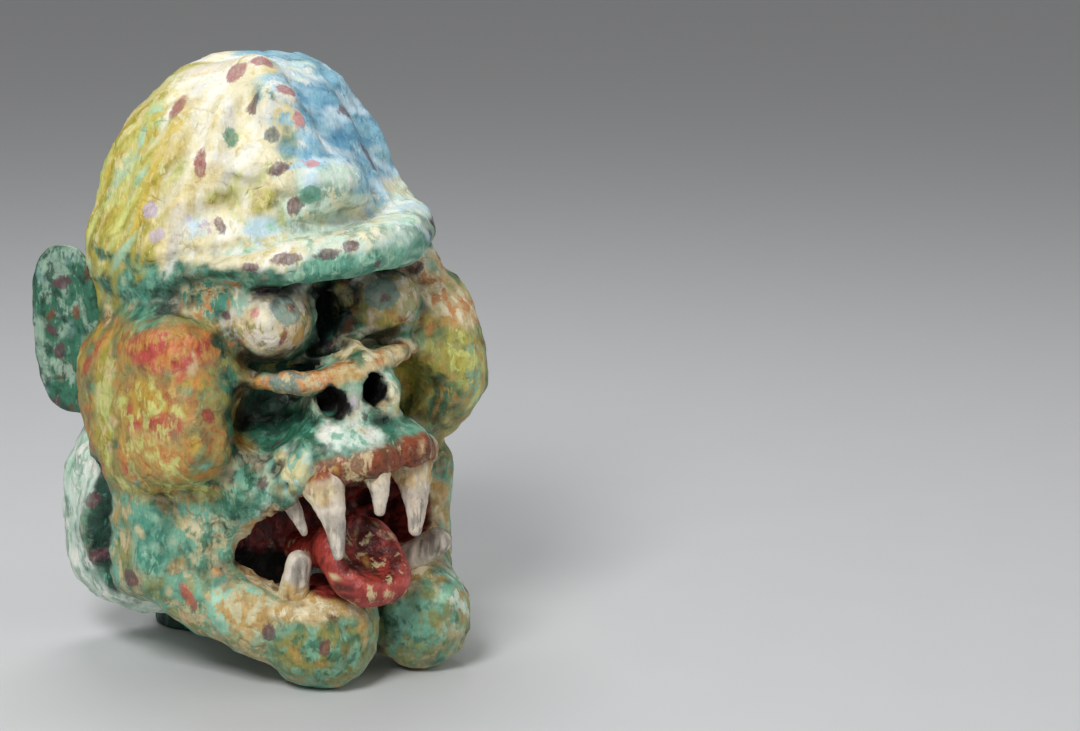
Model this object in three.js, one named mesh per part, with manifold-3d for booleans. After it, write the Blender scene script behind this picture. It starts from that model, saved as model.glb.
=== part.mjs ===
// A papier-mâché carnival mask: a monster's head with a peaked hat, bulging eyes and cheeks,
// an open fanged mouth, a hanging tongue, two cup ears and a neck collar.
//
// Frame: millimetres, +Z up, the face looks along -Y, +X is the mask's own left.
// Origin: on the floor, under the middle of the overall box. The chin lobes and the collar
// stand on z = 0.
//
// The head is worked out as rounded masses that melt into one another. Each mass is a distance
// function; the surface where the joined distance is zero is cut into facets and then thinned
// to a chosen number of facets. The inside is the same head moved in by the wall.

import * as THREE from 'three';
import Module from 'manifold-3d';
import { mergeVertices } from 'three/addons/utils/BufferGeometryUtils.js';

// Driving sizes.
const WALL = 7;             // wall of paper and paste
const LINING = 13;          // thicker wall behind the mouth and the other pressed-in places
const GAP = 0.35;           // clearance between neighbouring pieces
const SHELL_STEP = 4.4;     // cell of the grid the head is measured on
const OUTER_FACETS = 5300;  // facets of the outside of the head
const INNER_FACETS = 1900;  // facets of the inside of the head
const EAR_FACETS = 340;
const TONGUE_FACETS = 400;

// The sizes below are measured from a level LIFT above the floor.
const LIFT = 8;
// Rear edge of the head: height z against the y where the wall is cut off.
const REAR_EDGE = [[-LIFT, 64], [60, 64], [150, 60], [215, 20], [260, 2], [470, 2]];

// A mass: how it is joined ('+') or cut ('-'), the blend radius, its kind and its sizes.
// ball: centre, half sizes, squareness, turns about X, Y, Z in degrees.
// tube: points with a radius each.  slab: centre, half sizes, edge radius, turns.
// plane: the direction of the side taken off, and its distance from the origin.
const HAT = {
  crownLeft: ['+', 16, 'ball', [30, 4, 334], [92, 92, 113], 2.8],
  blueFlat: ['-', 18, 'plane', [0.57, -0.69, 0.45], 252],
  crownRight: ['+', 20, 'ball', [-24, -4, 319], [106, 108, 130], 2.2],
  shoulderLeft: ['-', 18, 'plane', [0.72, -0.26, 0.645], 334],
  shoulderRight: ['-', 18, 'plane', [-0.58, 0.49, 0.65], 327],
  hatBand: ['+', 18, 'ball', [-4, 0, 312], [132, 100, 46], 2.6],
  seam: ['+', 20, 'tube', [-26, -54, 436, 16], [-21, -82, 420, 16], [-15, -96, 395, 16],
    [-6, -103, 368, 16]],
  badgeLump: ['+', 18, 'ball', [2, -102, 360], [42, 28, 23], 2],
};
const FACE = {
  skull: ['+', 26, 'ball', [0, 4, 215], [120, 94, 150], 2.8],
  neckFlare: ['+', 18, 'ball', [0, 24, 96], [134, 60, 80], 3.6],
  browSkin: ['+', 14, 'ball', [0, -70, 260], [72, 44, 38], 2],
  temple: ['+', 14, 'ball', [98, -72, 288], [26, 30, 30], 2],
  cheekLeft: ['+', 12, 'ball', [108, -60, 213], [49, 80, 67], 2.6, [-28, 0, -8]],
  cheekRight: ['+', 12, 'ball', [-100, -54, 203], [44, 74, 69], 3.2, [-20, 0, 8]],
  eyeRight: ['+', 14, 'ball', [-43, -95, 268], [34, 46, 31], 2, [0, 0, -12]],
  eyeLeft: ['+', 14, 'ball', [50, -94, 271], [31, 45, 30], 2, [0, 0, 12]],
  muzzle: ['+', 16, 'ball', [4, -98, 176], [68, 82, 27], 2.4, [-4, -3, 0]],
  sideOfMouthRight: ['+', 16, 'ball', [-58, -94, 150], [30, 36, 36], 2],
  sideOfMouthLeft: ['+', 16, 'ball', [74, -90, 150], [28, 36, 30], 2],
  nose: ['+', 14, 'ball', [10, -138, 209], [33, 32, 27], 2.6, [0, -4, 0]],
  foldUnderEyes: ['+', 12, 'tube', [-66, -112, 222, 7], [-36, -140, 225, 8], [2, -149, 230, 9],
    [44, -141, 237, 8], [68, -122, 239, 7], [88, -98, 250, 7], [102, -70, 276, 7]],
};
const BRIM = {
  brim: ['+', 10, 'tube', [-114, -12, 292, 8], [-98, -62, 300, 10], [-68, -110, 309, 12],
    [-32, -144, 314, 14], [10, -156, 320, 16], [48, -142, 322, 18], [78, -104, 322, 18],
    [101, -52, 322, 15], [119, 0, 319, 10]],
  visor: ['+', 16, 'ball', [0, -56, 318], [108, 90, 13], 2.4, [-4, -6, 0]],
};
const JAW = {
  lip: ['+', 10, 'tube', [-66, -92, 108, 10], [-58, -128, 140, 10], [-40, -158, 162, 12],
    [-2, -180, 174, 12], [40, -176, 179, 12], [68, -144, 167, 10], [86, -98, 140, 9],
    [94, -48, 110, 9]],
  gum: ['+', 8, 'tube', [-54, -132, 130, 6], [-47, -146, 148, 7], [-33, -170, 162, 8],
    [-2, -187, 169, 8], [40, -183, 173, 8], [64, -155, 163, 7], [80, -116, 142, 6]],
  jawRight: ['+', 20, 'tube', [-104, -10, 96, 36], [-88, -66, 64, 30], [-52, -114, 40, 28]],
  jawLeft: ['+', 20, 'tube', [106, -20, 88, 40], [100, -76, 56, 34], [84, -116, 40, 30]],
  jowlLeft: ['+', 10, 'slab', [114, -48, 98], [28, 36, 48], 12],
  jowlRight: ['+', 10, 'slab', [-108, -44, 98], [25, 30, 44], 14],
  sideOfJawRight: ['+', 14, 'ball', [-84, -60, 114], [24, 42, 34], 2.6],
  chinLobeRight: ['+', 12, 'ball', [-13, -134, 30], [43, 42, 40], 2],
  chinLobeLeft: ['+', 12, 'ball', [74, -132, 32], [41, 40, 41], 2],
  chin: ['+', 18, 'ball', [26, -112, 40], [74, 46, 26], 2.4],
};
const CUTS = {
  chinCleft: ['-', 10, 'ball', [29, -172, 22], [7, 32, 60], 2],
  mouth: ['-', 10, 'ball', [10, -104, 106], [68, 72, 46], 2.4, [-12, 0, 0]],
  mouthFront: ['-', 10, 'ball', [10, -158, 113], [62, 62, 49], 2.4],
  mouthCorner: ['-', 10, 'ball', [84, -84, 98], [30, 42, 25], 2],
  nostrilRight: ['-', 6, 'ball', [-19, -168, 214], [10, 27, 13.5], 2],
  nostrilLeft: ['-', 6, 'ball', [13, -168, 221], [10, 27, 13.5], 2],
  slitBetweenEyes: ['-', 8, 'ball', [5, -116, 270], [11, 34, 30], 2],
  hollowByNoseLeft: ['-', 28, 'ball', [60, -118, 203], [26, 30, 22], 2],
  hollowByNoseRight: ['-', 28, 'ball', [-54, -116, 192], [24, 28, 20], 2],
  grooveBehindJawLeft: ['-', 12, 'ball', [140, 2, 98], [20, 11, 56], 2],
  grooveBehindJawRight: ['-', 12, 'ball', [-138, -14, 98], [18, 10, 56], 2],
};
// The hollow follows these masses only: brim, lips, nose and eyelids stay thick paper.
const HOLLOWED = ['crownLeft', 'blueFlat', 'crownRight', 'shoulderLeft', 'shoulderRight',
  'hatBand', 'skull', 'neckFlare', 'temple', 'cheekLeft', 'cheekRight', 'muzzle', 'jawRight',
  'jawLeft', 'jowlLeft', 'jowlRight', 'sideOfJawRight', 'chinLobeRight', 'chinLobeLeft'];

const EAR = { left: [135, 20, 250], right: [-139, 26, 246], half: [9, 30, 66], squareness: 2.6,
  lean: 6, turn: -33 };
const EAR_RECESS = { off: [9, 3, 2], half: [8, 21, 55] };
const COLLAR = { centre: [14, 52], half: [62, 46], wall: 14, height: 54 };

// Teeth: root point, tip point, root radius, tip radius, sideways bow.
const TEETH = {
  fang_right_small: { root: [-48, -138, 146], tip: [-34, -146, 112], r: [10, 3], bow: 2 },
  fang_right_big: { root: [-33, -170, 153], tip: [-30, -187, 103], r: [16, 4.5], bow: 4 },
  fang_middle: { root: [3, -184, 161], tip: [3, -189, 132], r: [11, 4], bow: 2 },
  fang_left_big: { root: [42, -170, 157], tip: [38, -182, 110], r: [16, 5], bow: 4 },
  fang_left_small: { root: [68, -140, 154], tip: [60, -147, 126], r: [12, 3.5], bow: 2 },
  tooth_low_right: { root: [-37, -130, 52], tip: [-35, -141, 99], r: [13, 9.5], bow: 0 },
  tooth_low_left: { root: [62, -126, 72], tip: [88, -152, 98], r: [12.5, 10.5], bow: 0 },
};
const TONGUE = {
  root: ['+', 14, 'ball', [10, -112, 89], [31, 44, 15], 2.4, [-8, 0, 0]],
  blade: ['+', 14, 'ball', [8, -158, 90], [33, 38, 17], 2.6, [38, 0, 0]],
  dish: ['-', 8, 'ball', [8, -168, 104], [20, 28, 10], 2, [38, 0, 0]],
};

// Distance functions.
const RAD = Math.PI / 180;

function turned(centre, turns) {
  const m = new THREE.Matrix4().makeRotationFromEuler(
    new THREE.Euler(turns[0] * RAD, turns[1] * RAD, turns[2] * RAD, 'ZYX'));
  const e = m.elements;  // its columns are the turned axes
  return (x, y, z, out) => {
    const a = x - centre[0], b = y - centre[1], c = z - centre[2];
    out[0] = a * e[0] + b * e[1] + c * e[2];
    out[1] = a * e[4] + b * e[5] + c * e[6];
    out[2] = a * e[8] + b * e[9] + c * e[10];
  };
}

function ball(centre, half, power, turns = [0, 0, 0]) {
  const local = turned(centre, turns), q = [0, 0, 0];
  return (x, y, z) => {
    local(x, y, z, q);
    let sum = 0;
    for (let i = 0; i < 3; i++) {
      q[i] = Math.abs(q[i]) / half[i];
      sum += q[i] ** power;
    }
    const level = Math.max(sum, 1e-9) ** (1 / power);
    let slope = 0;
    for (let i = 0; i < 3; i++) slope += (q[i] ** (power - 1) / half[i]) ** 2;
    slope = Math.sqrt(slope) * level ** (1 - power);
    return (level - 1) / Math.max(slope, 1e-6);
  };
}

function tube(...points) {
  return (x, y, z) => {
    let best = Infinity;
    for (let i = 0; i + 1 < points.length; i++) {
      const [ax, ay, az, ra] = points[i], [bx, by, bz, rb] = points[i + 1];
      const dx = bx - ax, dy = by - ay, dz = bz - az;
      let t = ((x - ax) * dx + (y - ay) * dy + (z - az) * dz) / (dx * dx + dy * dy + dz * dz);
      t = Math.min(Math.max(t, 0), 1);
      best = Math.min(best, Math.hypot(x - ax - t * dx, y - ay - t * dy, z - az - t * dz)
        - ra - (rb - ra) * t);
    }
    return best;
  };
}

function slab(centre, half, edge, turns = [0, 0, 0]) {
  const local = turned(centre, turns), q = [0, 0, 0];
  return (x, y, z) => {
    local(x, y, z, q);
    let out = 0, most = -Infinity;
    for (let i = 0; i < 3; i++) {
      const d = Math.abs(q[i]) - half[i] + edge;
      out += Math.max(d, 0) ** 2;
      most = Math.max(most, d);
    }
    return Math.sqrt(out) + Math.min(most, 0) - edge;
  };
}

function plane(normal, offset) {
  return (x, y, z) => offset - (normal[0] * x + normal[1] * y + normal[2] * z);
}

const KINDS = { ball, tube, slab, plane };

function blendMin(a, b, k) {
  const h = Math.max(k - Math.abs(a - b), 0) / k;
  return Math.min(a, b) - h * h * k / 4;
}
const blendMax = (a, b, k) => -blendMin(-a, -b, k);

// Joins the masses of several tables, in their order, into one distance function.
function joined(...tables) {
  const steps = tables.flatMap(Object.values)
    .map(([sign, blend, kind, ...sizes]) => ({ sign, blend, at: KINDS[kind](...sizes) }));
  return (x, y, z) => {
    let d = 1e3;
    for (const { sign, blend, at } of steps) {
      d = sign === '+' ? blendMin(d, at(x, y, z), blend) : blendMax(d, -at(x, y, z), blend);
    }
    return d;
  };
}

function alongRearEdge(z) {
  for (let i = 0; i + 1 < REAR_EDGE.length; i++) {
    const [z0, y0] = REAR_EDGE[i], [z1, y1] = REAR_EDGE[i + 1];
    if (z <= z1) return y0 + (y1 - y0) * Math.max(z - z0, 0) / (z1 - z0);
  }
  return REAR_EDGE.at(-1)[1];
}

const head = joined(HAT, FACE, BRIM, JAW, CUTS);
const masses = { ...HAT, ...FACE, ...JAW };
const hollow = joined(Object.fromEntries(HOLLOWED.map((name) => [name, masses[name]])));
// The skins run a little past the rear edge and the floor, where the solid is cut straight.
const PAST = 8;
const outside = (x, y, z) => blendMax(
  blendMax(head(x, y, z), y - alongRearEdge(z) - PAST, 6), -LIFT - PAST - z, 4);
const neckHole = (x, y, z) => Math.max(
  (Math.hypot((x - COLLAR.centre[0]) / (COLLAR.half[0] - COLLAR.wall),
    (y - COLLAR.centre[1]) / (COLLAR.half[1] - COLLAR.wall)) - 1) * 30, z - 90, -LIFT - PAST - 6 - z);
// Behind the mouth and the other pressed-in places the paper is thicker.
const pocket = joined(Object.values(CUTS).map(([, ...sizes]) => ['+', ...sizes]));
const inside = (x, y, z) => Math.min(Math.max(LINING - pocket(x, y, z),
  blendMax(blendMax(head(x, y, z), hollow(x, y, z), 8) + WALL, WALL - LIFT - z, 4)),
neckHole(x, y, z));

// Facets of a distance.
// Six tetrahedra to a cell: each cut edge gives one point, so the skin is always closed.
const TETS = [[0, 5, 1, 6], [0, 1, 2, 6], [0, 2, 3, 6], [0, 3, 7, 6], [0, 7, 4, 6], [0, 4, 5, 6]];
const CORNERS = [[0, 0, 0], [1, 0, 0], [1, 1, 0], [0, 1, 0], [0, 0, 1], [1, 0, 1], [1, 1, 1],
  [0, 1, 1]];

// For each of the 256 ways a cell can be filled: its faces, each as three cut edges.
// The faces look from the filled corners to the empty ones.
const CELL_FACES = Array.from({ length: 256 }, (_, code) => TETS.flatMap((tet) => {
  const full = tet.filter((c) => code >> c & 1), empty = tet.filter((c) => !(code >> c & 1));
  if (!full.length || !empty.length) return [];
  const mean = (list) => list.reduce((s, c) => s.add(new THREE.Vector3(...CORNERS[c])),
    new THREE.Vector3()).divideScalar(list.length);
  const outwards = mean(empty).sub(mean(full));
  let loop;
  if (full.length === 1) loop = empty.map((c) => [full[0], c]);
  else if (empty.length === 1) loop = full.map((c) => [c, empty[0]]);
  else {
    const [a, b] = full, [c, d] = empty;
    loop = [[a, c], [a, d], [b, d], [b, c]];
  }
  const [p, q, r] = loop.map(mean);
  if (q.sub(p).cross(r.sub(p)).dot(outwards) < 0) loop.reverse();
  return loop.length === 3 ? [loop] : [[loop[0], loop[1], loop[2]], [loop[0], loop[2], loop[3]]];
}));

function skin(distance, low, high, step) {
  const n = low.map((v, i) => Math.ceil((high[i] - v) / step) + 1);
  const at = (i, j, k) => (k * n[1] + j) * n[0] + i;
  const value = new Float64Array(n[0] * n[1] * n[2]);
  for (let k = 0; k < n[2]; k++) for (let j = 0; j < n[1]; j++) {
    for (let i = 0; i < n[0]; i++) {
      const d = distance(low[0] + i * step, low[1] + j * step, low[2] + k * step);
      value[at(i, j, k)] = Math.abs(d) < 1e-3 ? 1e-3 : d;
    }
  }
  const points = [], faces = [], known = new Map();
  const place = (id) => [low[0] + (id % n[0]) * step,
    low[1] + (Math.floor(id / n[0]) % n[1]) * step,
    low[2] + Math.floor(id / n[0] / n[1]) * step];
  const cut = (a, b) => {
    if (a > b) [a, b] = [b, a];
    const key = a * value.length + b;
    if (!known.has(key)) {
      const t = Math.min(Math.max(value[a] / (value[a] - value[b]), 0.08), 0.92);
      const p = place(a), q = place(b);
      known.set(key, points.length);
      points.push(p.map((v, i) => v + (q[i] - v) * t));
    }
    return known.get(key);
  };
  const ids = new Array(8);
  for (let k = 0; k + 1 < n[2]; k++) for (let j = 0; j + 1 < n[1]; j++) {
    for (let i = 0; i + 1 < n[0]; i++) {
      let code = 0;
      for (let c = 0; c < 8; c++) {
        ids[c] = at(i + CORNERS[c][0], j + CORNERS[c][1], k + CORNERS[c][2]);
        if (value[ids[c]] < 0) code |= 1 << c;
      }
      if (code === 0 || code === 255) continue;
      for (const face of CELL_FACES[code]) faces.push(face.map(([a, b]) => cut(ids[a], ids[b])));
    }
  }
  return { points, faces };
}

// Thinning the facets.
// Pulls the cheapest edge shut again and again. The cost of a point is how far it lies from
// the planes of the faces it stands for, held as the ten numbers of a quadric.
function thin({ points, faces }, target) {
  const near = points.map(() => new Set());
  faces.forEach((f, i) => f.forEach((v) => near[v].add(i)));
  const alive = new Uint8Array(faces.length).fill(1);
  const quad = points.map(() => new Float64Array(10));
  const plane = (f) => {
    const [p, q, r] = f.map((v) => points[v]);
    const a = (q[1] - p[1]) * (r[2] - p[2]) - (q[2] - p[2]) * (r[1] - p[1]);
    const b = (q[2] - p[2]) * (r[0] - p[0]) - (q[0] - p[0]) * (r[2] - p[2]);
    const c = (q[0] - p[0]) * (r[1] - p[1]) - (q[1] - p[1]) * (r[0] - p[0]);
    const size = Math.hypot(a, b, c) || 1e-12;
    return [a / size, b / size, c / size, -(a * p[0] + b * p[1] + c * p[2]) / size, size / 2];
  };
  for (const f of faces) {
    const [a, b, c, d, area] = plane(f);
    const m = [a * a, a * b, a * c, a * d, b * b, b * c, b * d, c * c, c * d, d * d];
    for (const v of f) m.forEach((x, i) => { quad[v][i] += x * area; });
  }
  const error = (m, p) => m[0] * p[0] * p[0] + 2 * m[1] * p[0] * p[1] + 2 * m[2] * p[0] * p[2]
    + 2 * m[3] * p[0] + m[4] * p[1] * p[1] + 2 * m[5] * p[1] * p[2] + 2 * m[6] * p[1]
    + m[7] * p[2] * p[2] + 2 * m[8] * p[2] + m[9];
  const best = (u, v) => {
    const m = quad[u].map((x, i) => x + quad[v][i]);
    const mid = points[u].map((x, i) => (x + points[v][i]) / 2);
    const lean = 6e-3 * (m[0] + m[4] + m[7]);
    const A = new THREE.Matrix3().set(m[0] + lean, m[1], m[2], m[1], m[4] + lean, m[5],
      m[2], m[5], m[7] + lean);
    const b = new THREE.Vector3(lean * mid[0] - m[3], lean * mid[1] - m[6], lean * mid[2] - m[8]);
    const p = b.applyMatrix3(A.invert()).toArray();
    const span = Math.hypot(...points[u].map((x, i) => x - points[v][i]));
    const far = Math.hypot(...p.map((x, i) => x - mid[i]));
    const spot = far < 0.7 * span ? p : mid;
    return [error(m, spot) + 2e-3 * span * span, spot];
  };
  const heap = [];
  const stamp = new Int32Array(points.length);
  const push = (item) => {
    let i = heap.push(item) - 1;
    while (i > 0) {
      const up = (i - 1) >> 1;
      if (heap[up][0] <= heap[i][0]) break;
      [heap[up], heap[i]] = [heap[i], heap[up]];
      i = up;
    }
  };
  const pop = () => {
    const top = heap[0], last = heap.pop();
    if (heap.length) {
      heap[0] = last;
      for (let i = 0; ;) {
        let s = i;
        for (const c of [2 * i + 1, 2 * i + 2]) {
          if (c < heap.length && heap[c][0] < heap[s][0]) s = c;
        }
        if (s === i) break;
        [heap[s], heap[i]] = [heap[i], heap[s]];
        i = s;
      }
    }
    return top;
  };
  const offer = (u, v) => {
    const [cost, spot] = best(u, v);
    push([cost, u, v, stamp[u], stamp[v], spot]);
  };
  const ring = (v) => new Set([...near[v]].flatMap((f) => faces[f]).filter((w) => w !== v));
  for (const f of faces) {
    for (const [u, v] of [[f[0], f[1]], [f[1], f[2]], [f[2], f[0]]]) if (u < v) offer(u, v);
  }
  let left = faces.length;
  // A face may turn a little but not fold, and may not become a sliver.
  const shape = (f, face) => {
    const [p, q, r] = f.map((w) => points[w]);
    return face[4] / Math.max(...[[p, q], [q, r], [r, p]].map(([a, b]) =>
      (a[0] - b[0]) ** 2 + (a[1] - b[1]) ** 2 + (a[2] - b[2]) ** 2));
  };
  const steady = (v, gone, spot) => [...near[v]].every((i) => {
    if (faces[i].includes(gone)) return true;
    const before = plane(faces[i]), shapeBefore = shape(faces[i], before), old = points[v];
    points[v] = spot;
    const after = plane(faces[i]), shapeAfter = shape(faces[i], after);
    points[v] = old;
    return before[0] * after[0] + before[1] * after[1] + before[2] * after[2] > 0.45
      && (shapeAfter > 0.04 || shapeAfter > shapeBefore);
  });
  while (left > target && heap.length) {
    const [, u, v, su, sv, spot] = pop();
    if (stamp[u] !== su || stamp[v] !== sv) continue;
    const ru = ring(u), rv = ring(v);
    if (!ru.has(v)) continue;
    const both = [...ru].filter((w) => rv.has(w));
    if (both.length !== 2 || ru.size + rv.size < 8) continue;
    if (!steady(u, v, spot) || !steady(v, u, spot)) continue;
    for (const i of [...near[v]]) {
      if (faces[i].includes(u)) {
        alive[i] = 0;
        left -= 1;
        faces[i].forEach((w) => near[w].delete(i));
      } else {
        faces[i] = faces[i].map((w) => (w === v ? u : w));
        near[u].add(i);
      }
    }
    near[v].clear();
    points[u] = spot;
    quad[u] = quad[u].map((x, i) => x + quad[v][i]);
    stamp[u] += 1;
    stamp[v] += 1;
    for (const w of ring(u)) offer(u, w);
  }
  const used = new Map(), outPoints = [], outFaces = [];
  faces.forEach((f, i) => {
    if (!alive[i]) return;
    outFaces.push(f.map((v) => {
      if (!used.has(v)) {
        used.set(v, outPoints.length);
        outPoints.push(points[v]);
      }
      return used.get(v);
    }));
  });
  return { points: outPoints, faces: outFaces };
}

// Evens the facets out: each point slides towards the middle of its neighbours and is then
// put back on the surface.
function settle({ points, faces }, distance, rounds = 4) {
  const near = points.map(() => new Set());
  for (const f of faces) f.forEach((v, i) => near[v].add(f[(i + 1) % 3]).add(f[(i + 2) % 3]));
  const slope = ([x, y, z]) => {
    const e = 1.5;
    return new THREE.Vector3(distance(x + e, y, z) - distance(x - e, y, z),
      distance(x, y + e, z) - distance(x, y - e, z), distance(x, y, z + e) - distance(x, y, z - e))
      .divideScalar(2 * e);
  };
  for (let round = 0; round < rounds; round++) {
    points = points.map((p, i) => {
      const at = new THREE.Vector3(...p), mean = new THREE.Vector3();
      for (const w of near[i]) mean.add(new THREE.Vector3(...points[w]));
      const move = mean.divideScalar(near[i].size).sub(at).multiplyScalar(0.4);
      const up = slope(p), steep = up.lengthSq();
      move.addScaledVector(up, -move.dot(up) / Math.max(steep, 1e-6));
      at.add(move);
      const back = slope(at.toArray()), d = distance(at.x, at.y, at.z);
      const pull = THREE.MathUtils.clamp(-d / Math.max(back.lengthSq(), 0.25), -1.5, 1.5);
      return at.addScaledVector(back, pull).toArray();
    });
  }
  return { points, faces };
}

const faceted = (distance, low, high, step, facets) =>
  settle(thin(skin(distance, low, high, step), facets), distance);

// Solids.
const wasm = await Module();
wasm.setup();

function solid({ points, faces }) {
  return new wasm.Manifold(new wasm.Mesh({
    numProp: 3, vertProperties: new Float32Array(points.flat()), triVerts: new Uint32Array(faces.flat()),
  }));
}

function fromGeometry(geometry) {
  const bare = geometry.clone();
  for (const name of Object.keys(bare.attributes)) if (name !== 'position') bare.deleteAttribute(name);
  const merged = mergeVertices(bare, 1e-3);
  const at = merged.attributes.position, points = [], faces = [];
  for (let i = 0; i < at.count; i++) points.push([at.getX(i), at.getY(i), at.getZ(i)]);
  for (let i = 0; i < merged.index.count; i += 3) {
    const f = [0, 1, 2].map((j) => merged.index.getX(i + j));
    if (new Set(f).size === 3) faces.push(f);
  }
  return { points, faces };
}

// The same facets with every point moved out by a small distance.
function grown({ points, faces }, by) {
  const normals = points.map(() => new THREE.Vector3());
  for (const f of faces) {
    const [p, q, r] = f.map((v) => new THREE.Vector3(...points[v]));
    const cross = q.clone().sub(p).cross(r.clone().sub(p));
    f.forEach((v) => normals[v].add(cross));
  }
  return {
    points: points.map((p, i) => {
      const n = normals[i].normalize();
      return [p[0] + n.x * by, p[1] + n.y * by, p[2] + n.z * by];
    }),
    faces,
  };
}

function toMesh(name, body, colour, roughness) {
  const mesh = body.getMesh();
  const count = mesh.vertProperties.length / mesh.numProp;
  const position = new Float32Array(count * 3);
  for (let i = 0; i < count; i++) for (let a = 0; a < 3; a++) {
    position[3 * i + a] = mesh.vertProperties[mesh.numProp * i + a];
  }
  const geometry = new THREE.BufferGeometry();
  geometry.setAttribute('position', new THREE.BufferAttribute(position, 3));
  geometry.setIndex(new THREE.BufferAttribute(new Uint32Array(mesh.triVerts), 1));
  geometry.computeVertexNormals();
  const out = new THREE.Mesh(geometry,
    new THREE.MeshStandardMaterial({ color: colour, roughness, metalness: 0 }));
  out.name = name;
  return out;
}

// The pieces.
// A tooth: a turned profile from root to tip with a slight bow, set on its own line.
function tooth({ root, tip, r, bow }, extra = 0) {
  const a = new THREE.Vector3(...root), b = new THREE.Vector3(...tip);
  const length = a.distanceTo(b), steps = 4, profile = [new THREE.Vector2(0, -extra)];
  for (let i = 0; i <= steps; i++) {
    const t = i / steps, radius = r[0] + (r[1] - r[0]) * t ** 0.65;
    profile.push(new THREE.Vector2(radius + extra, t * (length - r[1] * 0.5) - extra * (1 - t)));
  }
  profile.push(new THREE.Vector2((r[1] + extra) * 0.6, length - r[1] * 0.12 + extra));
  profile.push(new THREE.Vector2(0, length + extra));
  const geometry = new THREE.LatheGeometry(profile, 9);
  const at = geometry.attributes.position;
  for (let i = 0; i < at.count; i++) {
    const t = at.getY(i) / length;
    at.setZ(i, at.getZ(i) + bow * 4 * t * (1 - t));
  }
  const up = b.clone().sub(a).normalize();
  const front = new THREE.Vector3(0, -1, 0).addScaledVector(up, up.y).normalize();
  const side = up.clone().cross(front);
  geometry.applyMatrix4(new THREE.Matrix4().makeBasis(side, up, front).setPosition(a));
  return fromGeometry(geometry);
}

function ear(side) {
  const centre = side > 0 ? EAR.left : EAR.right;
  const turns = [0, side * EAR.lean, side * EAR.turn];
  const off = new THREE.Vector3(side * EAR_RECESS.off[0], -EAR_RECESS.off[1], EAR_RECESS.off[2])
    .applyEuler(new THREE.Euler(0, turns[1] * RAD, turns[2] * RAD, 'ZYX'));
  const plate = ball(centre, EAR.half, EAR.squareness, turns);
  const recess = ball([centre[0] + off.x, centre[1] + off.y, centre[2] + off.z],
    EAR_RECESS.half, 2.4, turns);
  const distance = (x, y, z) => blendMax(plate(x, y, z), -recess(x, y, z), 5);
  const low = [side > 0 ? 104 : -176, -14, 172], high = [side > 0 ? 176 : -104, 70, 332];
  return faceted(distance, low, high, 3.5, EAR_FACETS);
}

function collar() {
  const [cx, cy] = COLLAR.centre, [hx, hy] = COLLAR.half;
  const shape = new THREE.Shape().absellipse(cx, cy, hx, hy, 0, 2 * Math.PI);
  shape.holes.push(new THREE.Path().absellipse(cx, cy, hx - COLLAR.wall, hy - COLLAR.wall,
    0, 2 * Math.PI, true));
  return fromGeometry(new THREE.ExtrudeGeometry(shape,
    { depth: COLLAR.height, bevelEnabled: false, curveSegments: 16 }).translate(0, 0, -LIFT));
}

const outerSkin = faceted(outside, [-172, -212, -24], [172, 84, 470], SHELL_STEP, OUTER_FACETS);
const innerSkin = faceted(inside, [-170, -190, -32], [170, 124, 462], SHELL_STEP + 1, INNER_FACETS);
const tongueSkin = faceted(joined(TONGUE), [-40, -214, 44], [62, -58, 122], 3.5, TONGUE_FACETS);

// Everything behind the rear edge and below the floor.
function behind() {
  const side = [...REAR_EDGE.map(([z, y]) => [y, z]), [-260, 470], [-260, 520], [200, 520],
    [200, -60], [-260, -60], [-260, -LIFT]];
  const shape = new THREE.Shape(side.map(([y, z]) => new THREE.Vector2(y, z)));
  const geometry = new THREE.ExtrudeGeometry(shape, { depth: 500, bevelEnabled: false });
  geometry.applyMatrix4(new THREE.Matrix4().makeBasis(new THREE.Vector3(0, 1, 0),
    new THREE.Vector3(0, 0, 1), new THREE.Vector3(1, 0, 0)).setPosition(-250, 0, 0));
  return fromGeometry(geometry);
}

const outer = solid(outerSkin).subtract(solid(behind()));
const clear = solid(grown(outerSkin, GAP));
let shell = outer.subtract(solid(innerSkin)).subtract(solid(grown(tongueSkin, GAP)));

const group = new THREE.Group();
for (const [name, sizes] of Object.entries(TEETH)) {
  shell = shell.subtract(solid(tooth(sizes, GAP)));
  const body = solid(tooth(sizes)).subtract(solid(grown(tongueSkin, GAP)));
  group.add(toMesh(name, body, 0xd8cfc0, 0.7));
}
group.add(toMesh('tongue', solid(tongueSkin), 0xa33d35, 0.6));
for (const [name, side] of [['ear_left', 1], ['ear_right', -1]]) {
  group.add(toMesh(name, solid(ear(side)).subtract(clear), 0x8fae9c, 0.75));
}
group.add(toMesh('collar', solid(collar()).subtract(clear), 0x1f4d3a, 0.75));
group.add(toMesh('head', shell, 0x6fae98, 0.7));

// The whole stands on z = 0 with the origin under the middle of its overall box.
const box = new THREE.Box3().setFromObject(group);
group.position.set(-(box.min.x + box.max.x) / 2, -(box.min.y + box.max.y) / 2, -box.min.z);

export default group;
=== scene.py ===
"""A papier-mâché carnival mask: painted paper head, ears, teeth, tongue and neck ring.

The maker's own measures are millimetres from a level on the mask's axis (+Z up, the face looks
along -Y, +X is the mask's own left). `Bench` turns them into the metres of the fixed frame.
Every piece is worked out as rounded masses that melt into one another: each mass is a distance
function, the surface where the joined distance is zero becomes the mesh, and the paint is put
on that surface stroke by stroke and kept in the mesh as attributes.
"""

import itertools
import logging
import math
from collections.abc import Callable, Iterable
from dataclasses import dataclass, field
from enum import Enum

import bpy
import numpy as np
import openvdb
from mathutils import Matrix, Vector
from mathutils.kdtree import KDTree


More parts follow.
